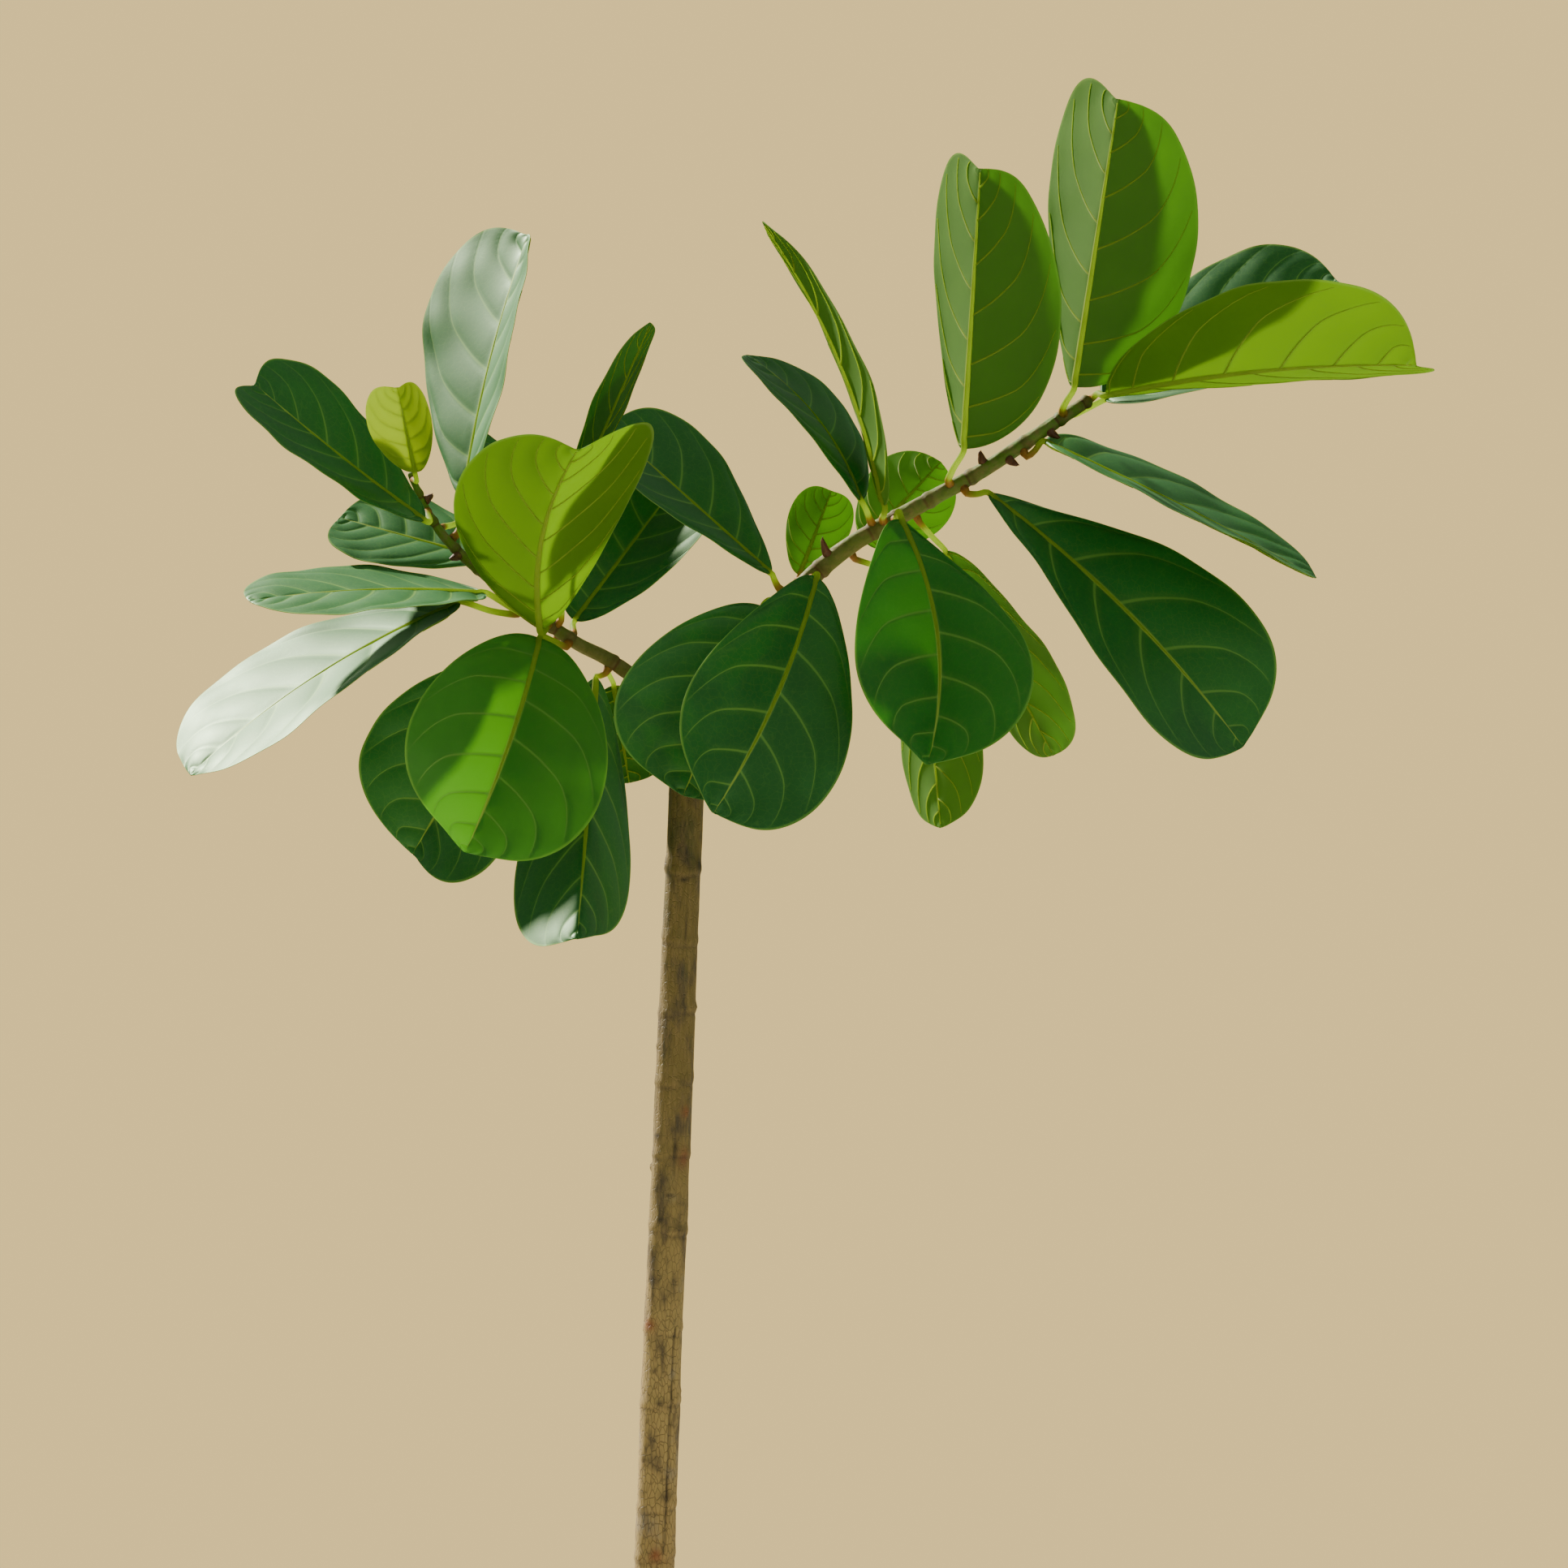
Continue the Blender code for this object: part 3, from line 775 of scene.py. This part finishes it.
def grown(at, stalk, blade, half, turn, fold, bow=0, lift=0, belly=0.35, notch=0, skew=0, lean=0):
    """One leaf's sizes: where it leaves the branch (0 to 1), its stalk and rib, then its blade."""
    return dict(at=at, stalk=stalk, blade=blade, half=half, turn=turn, fold=fold, bow=bow,
                lift=lift, belly=belly, notch=notch, skew=skew, lean=lean)


LEFT_LEAVES = (
    grown(0.27, (0, 29, -17), (11, 10, -72), 35, 180, 20),
    grown(0.27, (-12, -1, -12), (-10, -88, -189), 67, 11, -51, lift=-18, notch=-4, skew=22),
    grown(0.39, (-22, -16, 0), (-52, -34, -156), 87, 6, 33, bow=-5, lift=15, belly=0.3, notch=-4,
          skew=-15),
    grown(0.39, (2, 22, 15), (78, 40, 108), 56, 28, 18),
    grown(0.42, (-28, 45, -20), (-87, 20, -144), 76, -22, 19, skew=-16),
    grown(0.44, (6, -52, 71), (67, -52, 143), 40, 102, 4, notch=-3),
    grown(0.46, (-4, -36, -5), (33, -120, 121), 74, 168, 32, bow=-12, belly=0.14, notch=14,
          skew=-23, lean=-0.2),
    grown(0.51, (-33, -22, 12), (-163, -66, -9), 66, -73, 2, bow=5, belly=0.2),
    grown(0.53, (-47, -18, 1), (-188, -55, -126), 90, -66, 7, bow=11, belly=0.4, notch=-4, skew=8),
    grown(0.6, (-8, 39, 21), (-116, 24, 33), 57, -58, 4, belly=0.45),
    grown(0.76, (10, 13, 34), (45, 40, 198), 84, 60, 18, bow=-5, belly=0.3, skew=-34, lean=-0.25),
    grown(0.8, (16, 80, 26), (8, 55, 57), 48, -45, 8),
    grown(0.86, (0, -33, -8), (-119, -32, 95), 59, -61, 10, bow=-2, belly=0.42, notch=14, skew=-10),
    grown(0.98, (4, -29, 3), (-8, -54, 56), 27, 10, 32, notch=13, skew=5),
)
RIGHT_LEAVES = (
    grown(0.31, (-11, -33, 1), (-58, -15, -138), 75, -2, 18, notch=-3),
    grown(0.34, (-14, -3, 19), (-120, 0, 108), 72, -61, 11, belly=0.6),
    grown(0.38, (-3, 11, 8), (24, 25, 64), 24, 180, 15, notch=3),
    grown(0.4, (4, -29, -1), (-74, -85, -172), 67, 8, 20, bow=-8, belly=0.5, notch=-3, skew=-24),
    grown(0.5, (55, 35, -32), (15, -10, -176), 45, 130, 10, notch=-3),
    grown(0.53, (4, 28, -1), (59, 86, 66), 36, 180, 20, notch=3),
    grown(0.56, (-11, -18, 21), (-84, 32, 110), 52, -67, 6, bow=12, notch=-3),
    grown(0.58, (-1, -26, 13), (-89, -40, 203), 56, -96, 6, bow=12, belly=0.1, notch=-6),
    grown(0.6, (4, -47, -3), (17, -70, -179), 82, 8, 35, bow=-17, belly=0.65, notch=-4, skew=-24,
          lean=-0.2),
    grown(0.64, (25, 12, -31), (81, 10, -151), 50, 120, 6),
    grown(0.72, (8, -29, 27), (13, 10, 207), 66, 218, 26, belly=0.22, notch=16, skew=26, lean=0.35),
    grown(0.74, (21, -9, -9), (185, -20, -187), 95, 46, 12, bow=-10, belly=0.75, notch=-4),
    grown(0.86, (19, -2, 3), (202, 10, -100), 80, 76, 6, bow=-3, belly=-0.12, notch=-3),
    grown(0.96, (6, -24, 20), (34, 20, 215), 74, 208, 30, belly=0.3, notch=18, skew=34, lean=0.3),
    grown(0.99, (23, 80, 11), (180, 26, 94), 72, 47, 10, notch=6, skew=6),
    grown(1, (12, -27, 2), (225, -25, 20), 72, 121, 29, bow=-7, belly=0.25, notch=14, skew=-26),
)

# each leaf's age, and how fresh its green is, from 0, deep, to 1, light
LEAF_LOOKS = {
    "left": (("old", 0.1), ("old", 0.1), ("full", 0.8), ("old", 0.0), ("old", 0.3), ("old", 0.3),
             ("light", 0.6), ("old", 0.8), ("old", 0.8), ("old", 0.6), ("old", 0.8), ("old", 0.2),
             ("old", 0.3), ("young", 0.5)),
    "right": (("old", 0.2), ("old", 0.1), ("full", 0.3), ("old", 0.2), ("full", 0.6),
              ("full", 0.4), ("old", 0.1), ("full", 0.9), ("ripe", 0.2), ("full", 0.8),
              ("full", 0.5), ("old", 0.2), ("old", 0.9), ("full", 0.6), ("old", 0.1),
              ("light", 0.3)),
}


def outline(t, length, leaf, side):
    """The blade's flat margin: (distance from the rib, distance from the heel) at t from 0 to 1."""
    turn = math.pi * t
    fullness = 1 - 0.3 * np.maximum(0.0, t - 0.3)
    belly = leaf["belly"] + side * leaf["lean"]
    across = leaf["half"] * MM * np.sin(turn) ** fullness * (1 - belly * np.cos(turn))
    across = across / (1 + belly**2 / 2) + LEAF_EDGE
    start = 0.8 if leaf["notch"] > 0 else 0.92
    pull = leaf["notch"] * MM * np.maximum(0.0, (t - start) / (1 - start)) ** 2
    reach = side * leaf["skew"] * MM * t**2 * (1 - t**6)
    return across, length * (1 - np.cos(turn)) / 2 - pull + reach


def vein_bend(u):
    """How far a side vein has curved towards the tip, in veins, at u across its half."""
    return 0.75 * np.maximum(0.0, np.abs(u) - 0.55) ** 2 / 0.2


def vein_at(u, t):
    """Which side vein runs here; whole numbers are veins, and the halves alternate."""
    return SIDE_VEINS * 2 / math.pi * np.arcsin(np.clip(t, 0, 1)) - vein_bend(u) + 0.5 * (u > 0)


class Blade:
    """One leaf's surface, from its row of sizes."""

    def __init__(self, heel, leaf, seed):
        self.leaf, self.heel = leaf, np.array(heel)
        blade = Vector(leaf["blade"]) * MM
        along = blade.normalized()
        front = Vector((0, -1, 0))
        front = (front - along * front.dot(along)).normalized()
        across = along.cross(front)
        turn = math.radians(leaf["turn"])
        self.length = blade.length
        self.blade = np.array(blade)
        self.side = np.array(across * math.cos(turn) + front * math.sin(turn))
        self.up = np.array(front * math.cos(turn) - across * math.sin(turn))
        self.bow = np.array(across * leaf["bow"] + front * leaf["lift"]) * MM
        draw = np.random.default_rng(seed)
        self.phase = draw.uniform(0, 2 * math.pi, 6)
        self.ripple = draw.uniform(0.5, 1.1) * min(1.0, leaf["half"] / 60)
        self.quilt = 1.15 * min(1.0, leaf["half"] / 60)

    def at(self, u, t):
        """The middle of the blade's thickness, with its folds, quilting and ripples."""
        leaf, size = self.leaf, np.abs(u)
        span_right, reach_right = outline(t, self.length + leaf["notch"] * MM, leaf, 1)
        span_left, reach_left = outline(t, self.length + leaf["notch"] * MM, leaf, -1)
        span = np.where(u < 0, span_left, span_right)
        reach = np.where(u < 0, reach_left, reach_right)
        rib = self.length * t**VEIN_LEAN
        s = (rib + (reach - rib) * (0.5 * size + 0.5 * size**2)) / self.length
        distance = size * span
        fold = math.radians(leaf["fold"])
        soft = 3 * MM
        lift = math.sin(fold) * (np.sqrt(distance**2 + soft**2) - soft)
        vein = vein_at(u, t)
        inner = np.clip(size / 0.1, 0, 1) * (1 - size**8) * np.clip(span / (12 * MM), 0, 1)
        lift = lift + self.quilt * MM * (np.abs(np.sin(math.pi * vein)) ** 0.7 - 0.5) * inner
        wave = np.sin(7 * s + 3 * np.sign(u) + self.phase[0]) + 0.7 * np.sin(
            15 * s - 2 * np.sign(u) + self.phase[1]) + 0.4 * np.sin(29 * s + self.phase[2])
        edge = np.clip(span / (25 * MM), 0, 1)
        lift = lift + self.ripple * 1.3 * MM * wave * size**2.5 * edge
        lift = lift + 1.6 * MM * np.sin(math.pi * size) * np.sin(4 * s + self.phase[3]) * edge
        s, u, lift, distance = (a[..., None] for a in (s, u, lift, distance))
        spine = self.heel + self.blade * s + self.bow * 4 * s * (1 - s)
        return spine + self.side * np.sign(u) * distance * math.cos(fold) + self.up * lift

    def out(self, u, t):
        """Out of the upper side."""
        step = 0.004
        du = self.at(np.minimum(u + step, 1), t) - self.at(np.maximum(u - step, -1), t)
        low, high = np.clip(t, step, 1) - step, np.clip(t, 0, 1 - step) + step
        normal = np.cross(du, self.at(u, high) - self.at(u, low))
        normal /= np.linalg.norm(normal, axis=-1, keepdims=True) + 1e-12
        normal += self.up * 0.15
        return normal / np.linalg.norm(normal, axis=-1, keepdims=True)


class Pile:
    """Points, faces and stored numbers of several shapes that become one mesh."""

    def __init__(self):
        self.points, self.faces, self.materials = [], [], []
        self.values = {"across": [], "vein": [], "tone": []}

    def add(self, points, faces, material, **values):
        start = len(self.points)
        self.points.extend(map(tuple, points))
        self.faces.extend(tuple(start + i for i in face) for face in faces)
        self.materials.extend([material] * len(faces))
        for name, stored in self.values.items():
            number = values.get(name, 0.0)
            stored.extend(np.broadcast_to(number, len(points)))

    def mesh(self, name):
        mesh = mesh_of(name, self.points, self.faces)
        mesh.polygons.foreach_set("material_index", self.materials)
        set_values(mesh, **self.values)
        return mesh


def add_shell(pile, middle, normal, thickness, u, t, tone):
    """A sheet of real thickness round its middle surface: upper side, underside and edge."""
    rows, columns = u.shape
    upper = (middle + normal * thickness[..., None] / 2).reshape(-1, 3)
    under = (middle - normal * thickness[..., None] / 2).reshape(-1, 3)
    index = np.arange(rows * columns).reshape(rows, columns)
    a, b = index[:-1, :-1].ravel(), index[:-1, 1:].ravel()
    c, d = index[1:, 1:].ravel(), index[1:, :-1].ravel()
    ring = np.concatenate([index[0, :-1], index[:-1, -1], index[-1, :0:-1], index[:0:-1, 0]])
    after = np.roll(ring, -1)
    count = rows * columns
    top = np.stack([a, b, c, d], 1)
    bottom = np.stack([d, c, b, a], 1) + count
    rim = np.stack([ring, ring + count, after + count, after], 1)
    start = len(pile.points)
    pile.add(np.concatenate([upper, under]), top.tolist(), 0, across=np.tile(u.ravel(), 2),
             vein=np.tile(vein_at(u, t).ravel(), 2), tone=tone)
    pile.faces.extend((bottom + start).tolist() + (rim + start).tolist())
    pile.materials.extend([1] * (len(bottom) + len(rim)))


def leaf_place(line, leaf):
    """Where the stalk stands on the branch, which way it leaves, and where the blade begins."""
    at = leaf["at"] * (len(line) - 1)
    i = min(int(at), len(line) - 2)
    (before, thick), (after, thin) = line[i], line[i + 1]
    core = before.lerp(after, at - i)
    skin = thick + (thin - thick) * (at - i)
    stalk = Vector(leaf["stalk"]) * MM
    run = (after - before).normalized()
    out = (stalk - run * stalk.dot(run)).normalized()
    if leaf["at"] == 1:
        out, skin = run, 0
    return core, skin, out, core + stalk


def add_stalk_and_rib(pile, blade, place, size, tone):
    """One tube: the stalk from its swollen foot, then the rib under the blade to its tip."""
    core, skin, out, heel = place
    foot = core + out * (skin - 1.2 * MM)
    knee = core + out * (skin + STALK_FOOT)
    toward = Vector(blade.leaf["blade"]).normalized()
    bend = (knee + heel) / 2 + (out - toward) * (heel - knee).length * 0.18
    stalk = (foot, core + out * (skin + 1.5 * MM), knee, bend, heel - toward * 2 * MM)
    middle = np.zeros(RIB_POINTS)
    rib_at = np.linspace(0.03, 0.985, RIB_POINTS) ** (1 / VEIN_LEAN)
    rib = blade.at(middle, rib_at) - blade.out(middle, rib_at) * 0.5 * MM
    thinning = [2.2 * (1 - k / RIB_POINTS) ** 0.8 + 0.35 for k in range(RIB_POINTS)]
    route = [(Vector(spot) / MM, radius * size)
             for spot, radius in zip((*stalk, *rib), (*STALK_RADII, *thinning))]
    run = curve_through(route, 3 * MM)
    points, faces = swept(run, STALK_SIDES)
    foot_share = [min(1.0, (spot - foot).length / (16 * MM)) for spot, _ in run]
    pile.add(points, faces, 2, across=np.repeat(foot_share, STALK_SIDES), tone=tone)


def add_side_veins(pile, blade, size, tone):
    """Thin raised tubes under both halves, from the rib out towards the margin."""
    u = np.linspace(0.01, 0.95, VEIN_POINTS)
    radii = (0.62 * (1 - u) ** 0.7 + 0.16) * MM * size
    for half in (-1, 1):
        for k in range(1, 9):
            turn = (k - 0.5 * (half > 0) + vein_bend(u)) / SIDE_VEINS
            if turn[0] > 0.86:
                continue
            t = np.sin(math.pi / 2 * np.clip(turn, 0, 0.985))
            path = blade.at(half * u, t) - blade.out(half * u, t) * LEAF_THICKNESS * 0.42
            points, faces = swept([(Vector(p), r) for p, r in zip(path, radii)], VEIN_SIDES)
            pile.add(points, faces, 2, across=1.0, tone=tone)


def make_leaf(name, line, leaf, seed, tone):
    """A whole leaf: its blade, its stalk and rib, and its side veins."""
    place = leaf_place(line, leaf)
    blade = Blade(place[-1], leaf, seed)
    pile = Pile()
    u, row = np.meshgrid(np.linspace(-1, 1, BLADE_COLUMNS), np.linspace(0, 1, BLADE_ROWS))
    u = np.sign(u) * np.abs(u) ** 1.15
    t = np.sin(math.pi / 2 * row)
    middle, normal = blade.at(u, t), blade.out(u, t)
    thickness = LEAF_THICKNESS * (1 - 0.55 * np.abs(u) ** 10)
    add_shell(pile, middle, normal, thickness, u, t, tone)
    size = 0.55 + 0.45 * min(1.0, leaf["half"] / 60)
    add_stalk_and_rib(pile, blade, place, size, tone)
    add_side_veins(pile, blade, size, tone)
    return pile.mesh(name)


# the tint of the wax's shine
SHEEN = (0.55, 1.0, 0.38)


def let_light_through(material, shader, colour, share):
    """Lets a share of the light pass in a colour; the rest meets the material's own shader."""
    glow = Paint.node("ShaderNodeBsdfTranslucent", Color=colour)
    mixed = Paint.node("ShaderNodeMixShader", _0=share, _1=Paint(shader.outputs[0]), _2=glow)
    out = material.node_tree.nodes["Material Output"]
    Paint.tree.links.new(mixed.socket, out.inputs["Surface"])


def leaf_side(name, deep, fresh, vein_colour, rib_colour, finish, see_through, glow_colour):
    """One side of the blade: a waxy or matt skin that lets part of the light through."""
    material, shader = new_material(name)
    rough, gloss, quilted = finish
    across, vein, tone = value_of("across"), value_of("vein"), value_of("tone")
    size = across.maths("ABSOLUTE")
    near = ((vein + 0.5).maths("FRACT") - 0.5).maths("ABSOLUTE")
    wide = size.ease(0, 1, 0.050, 0.022)
    on_vein = near.maths("DIVIDE", wide).ease(1.0, 0.25) * size.ease(0.99, 0.86)
    halo = near.maths("DIVIDE", wide).ease(4.5, 0.5)
    rib = size.ease(0.040, 0.014)
    wide_net, fine_net = cells(190, "DISTANCE_TO_EDGE"), cells(520, "DISTANCE_TO_EDGE")
    net = wide_net.ease(0.055, 0.0) * 0.7 + fine_net.ease(0.08, 0.0) * 0.35
    blotch = cloudy(26, 4, 0.6)
    body = (tone * 0.7 + blotch.ease(0.40, 0.75, 0, 0.4)).mix(deep, fresh)
    body = (halo * 0.12).mix(body, vein_colour)
    body = (net * 0.28).mix(body, vein_colour)
    body = (on_vein * 0.9).mix(body, vein_colour)
    body = rib.mix(body, rib_colour)
    # a pale rim round the margin: partly the leaf's own pale edge, partly painted edge light
    body = size.ease(0.972, 0.992).mix(body, vein_colour)
    relief = (halo * -0.5 + net * -0.12) * quilted + cloudy(220, 3) * 0.2
    feed(shader, Base_Color=body, Roughness=blotch * 0.14 + rough,
         Normal=bumpy(relief, 0.25, 0.0005), Specular_IOR_Level=gloss,
         Specular_Tint=SHEEN)
    passing = see_through * (1 - (on_vein * 0.30 + net * 0.12 + rib * 0.45))
    let_light_through(material, shader, glow_colour, passing)
    return material


def rib_skin():
    """The stalk, rib and raised veins: smooth and yellow-green, orange-brown at the foot."""
    material, shader = new_material("leaf_rib")
    away = value_of("across")
    body = cloudy(90, 3).mix((0.210, 0.270, 0.030), (0.320, 0.360, 0.050))
    body = away.ease(0.95, 0.30).mix(body, (0.340, 0.135, 0.022))
    body = (away.ease(0.30, 0.05) * cloudy(300, 3).ease(0.35, 0.6)).mix(
        body, (0.130, 0.042, 0.014))
    feed(shader, Base_Color=body, Roughness=cloudy(200).ease(0.3, 0.7, 0.55, 0.70),
         Normal=bumpy(cloudy(500, 3), 0.2, 0.0003), Specular_IOR_Level=0.2)
    let_light_through(material, shader, (0.80, 1.0, 0.15), away.ease(0.3, 0.95, 0.1, 0.5))
    return material


TOP_VEIN, TOP_RIB = (0.150, 0.300, 0.050), (0.310, 0.400, 0.055)
UNDER_VEIN, UNDER_RIB = (0.165, 0.260, 0.060), (0.240, 0.310, 0.065)
YOUNG_VEIN = (0.340, 0.410, 0.050)
# how rough, how glossy, and how strongly the veins press in (above 0) or stand out (below 0)
TOP_FINISH, UNDER_FINISH = (0.45, 0.85, 1.0), (0.72, 0.08, -0.6)
# each age of leaf: how much light passes and its colour, then the top's deep and fresh greens
# and the underside's
LEAF_AGES = {
    "old": (0.09, (0.32, 0.95, 0.08), (0.003, 0.075, 0.018), (0.018, 0.140, 0.030),
            (0.040, 0.130, 0.026), (0.075, 0.190, 0.034)),
    "ripe": (0.22, (0.40, 0.97, 0.06), (0.003, 0.080, 0.017), (0.018, 0.140, 0.026),
             (0.045, 0.130, 0.020), (0.080, 0.185, 0.028)),
    "full": (0.32, (0.50, 0.97, 0.06), (0.004, 0.085, 0.016), (0.020, 0.150, 0.024),
             (0.075, 0.150, 0.032), (0.105, 0.195, 0.038)),
    "light": (0.33, (0.68, 0.98, 0.03), (0.015, 0.120, 0.012), (0.050, 0.190, 0.016),
              (0.070, 0.160, 0.010), (0.110, 0.210, 0.012)),
    "young": (0.38, (0.82, 0.96, 0.01), (0.150, 0.250, 0.002), (0.220, 0.320, 0.003),
              (0.160, 0.250, 0.002), (0.220, 0.310, 0.003)),
}
skins = {}
for age, (see, glow_colour, top_deep, top_fresh, under_deep, under_fresh) in LEAF_AGES.items():
    veins = (YOUNG_VEIN, YOUNG_VEIN) if age == "young" else (TOP_VEIN, UNDER_VEIN)
    skins[age] = (
        leaf_side(age + "_leaf_top", top_deep, top_fresh, veins[0], TOP_RIB, TOP_FINISH, see,
                  glow_colour),
        leaf_side(age + "_leaf_under", under_deep, under_fresh, veins[1], UNDER_RIB,
                  UNDER_FINISH, see, glow_colour),
    )
leaf_rib = rib_skin()
branch_lines = {"left": curve_through(LEFT_ROUTE, BRANCH_STEP),
                "right": curve_through(RIGHT_ROUTE, BRANCH_STEP)}
for side, leaves in (("left", LEFT_LEAVES), ("right", RIGHT_LEAVES)):
    for number, leaf in enumerate(leaves, 1):
        node = f"{side}_leaf_{number}"
        age, tone = LEAF_LOOKS[side][number - 1]
        made = make_leaf(node + "_blade", branch_lines[side], leaf,
                         seed=number + 40 * (side == "left"), tone=tone)
        show(node + "_blade", made, [*skins[age], leaf_rib], node,
             50)


# ----------------------------------------------------------
# Bud sheaths. Dry red-brown papery scales that once wrapped a bud and stay at the joints: each
# is a short cone of three curled bracts round a pointed core, set on the branch's skin.
# ----------------------------------------------------------
SCALE_RADIUS = 3.4 * MM
# how far up the sheath each of its three bracts reaches, the longest inside
BRACT_REACH = (0.98, 0.80, 0.62)
BRACT_HALF_WRAP, BRACT_TIP_WRAP = 78, 6
BRACT_THICKNESS = 0.45 * MM
CORE_STEPS, CORE_SIDES = 10, 12
# the branch, how far along it (0 to 1), which way the sheath points, and its length
SCALES = (
    ("left", 0.77, (-0.4, -0.7, -0.6), 9),
    ("left", 0.94, (0.9, 0.2, 0.3), 7),
    ("right", 0.49, (-0.6, -0.6, 0.5), 15),
    ("right", 0.83, (-0.4, -0.3, 0.9), 9),
    ("right", 0.84, (0.3, -0.6, -0.7), 10),
    ("right", 0.93, (0.4, -0.5, -0.8), 9),
)


def papery_scale():
    material, shader = new_material("bud_sheath")
    streak = cloudy(1, 4, 0.6, at=stretched(900, 900, 240))
    body = streak.mix((0.055, 0.014, 0.006), (0.190, 0.058, 0.018))
    body = cloudy(260, 3).ease(0.55, 0.75).mix(body, (0.270, 0.120, 0.045))
    feed(shader, Base_Color=body, Roughness=streak.ease(0.3, 0.7, 0.5, 0.75),
         Normal=bumpy(streak, 0.8, 0.0005))
    return material


def make_sheath(name, line, at, heading, length, seed):
    """One sheath: a pointed core wrapped by three curled bracts that lean along the branch."""
    i = min(int(at * (len(line) - 1)), len(line) - 2)
    (core, skin), (after, _) = line[i], line[i + 1]
    run = (after - core).normalized()
    out = Vector(heading)
    out = (out - run * out.dot(run)).normalized()
    side = run.cross(out)
    foot = core + out * (skin - 0.6 * MM)
    draw = np.random.default_rng(seed)
    tall = length * MM + 0.5 * MM

    def axis(v):
        return foot + out * tall * v + run * tall * 0.22 * v**2

    pile = Pile()
    steps = [k / CORE_STEPS for k in range(CORE_STEPS + 1)]
    core_line = [(axis(v * 0.94), SCALE_RADIUS * (0.68 * (1 - v**2) ** 0.6 + 0.05)) for v in steps]
    pile.add(*swept(core_line, CORE_SIDES), 0)
    for bract, reach in enumerate(BRACT_REACH):
        start = bract * 120 + draw.uniform(-25, 25)
        u, v = np.meshgrid(np.linspace(-1, 1, 13), np.linspace(0, 1, 15))
        points, normals = np.zeros((*u.shape, 3)), np.zeros((*u.shape, 3))
        for r in range(u.shape[0]):
            for c in range(u.shape[1]):
                up = v[r, c]
                wrap = BRACT_HALF_WRAP * (1 - up**2) ** 0.6 + BRACT_TIP_WRAP
                angle = math.radians(start + u[r, c] * wrap)
                radius = SCALE_RADIUS * (0.84 + 0.08 * bract) * (1 - 0.70 * up**2.4)
                radius *= 1 + 0.10 * math.sin(up * 5 + bract) * up
                away = run * math.cos(angle) + side * math.sin(angle)
                points[r, c] = axis(up * reach) + away * radius
                normals[r, c] = away
        thick = np.full(u.shape, BRACT_THICKNESS)
        add_shell(pile, points, normals, thick, u, v, 0.0)
    mesh = pile.mesh(name)
    mesh.polygons.foreach_set("material_index", [0] * len(mesh.polygons))
    return mesh


dry_paper = papery_scale()
for number, (side, at, heading, length) in enumerate(SCALES, 1):
    node = f"bud_scale_{number}"
    made = make_sheath(node + "_sheath", branch_lines[side], at, heading, length, seed=number)
    show(node + "_sheath", made, [dry_paper], node, 60)
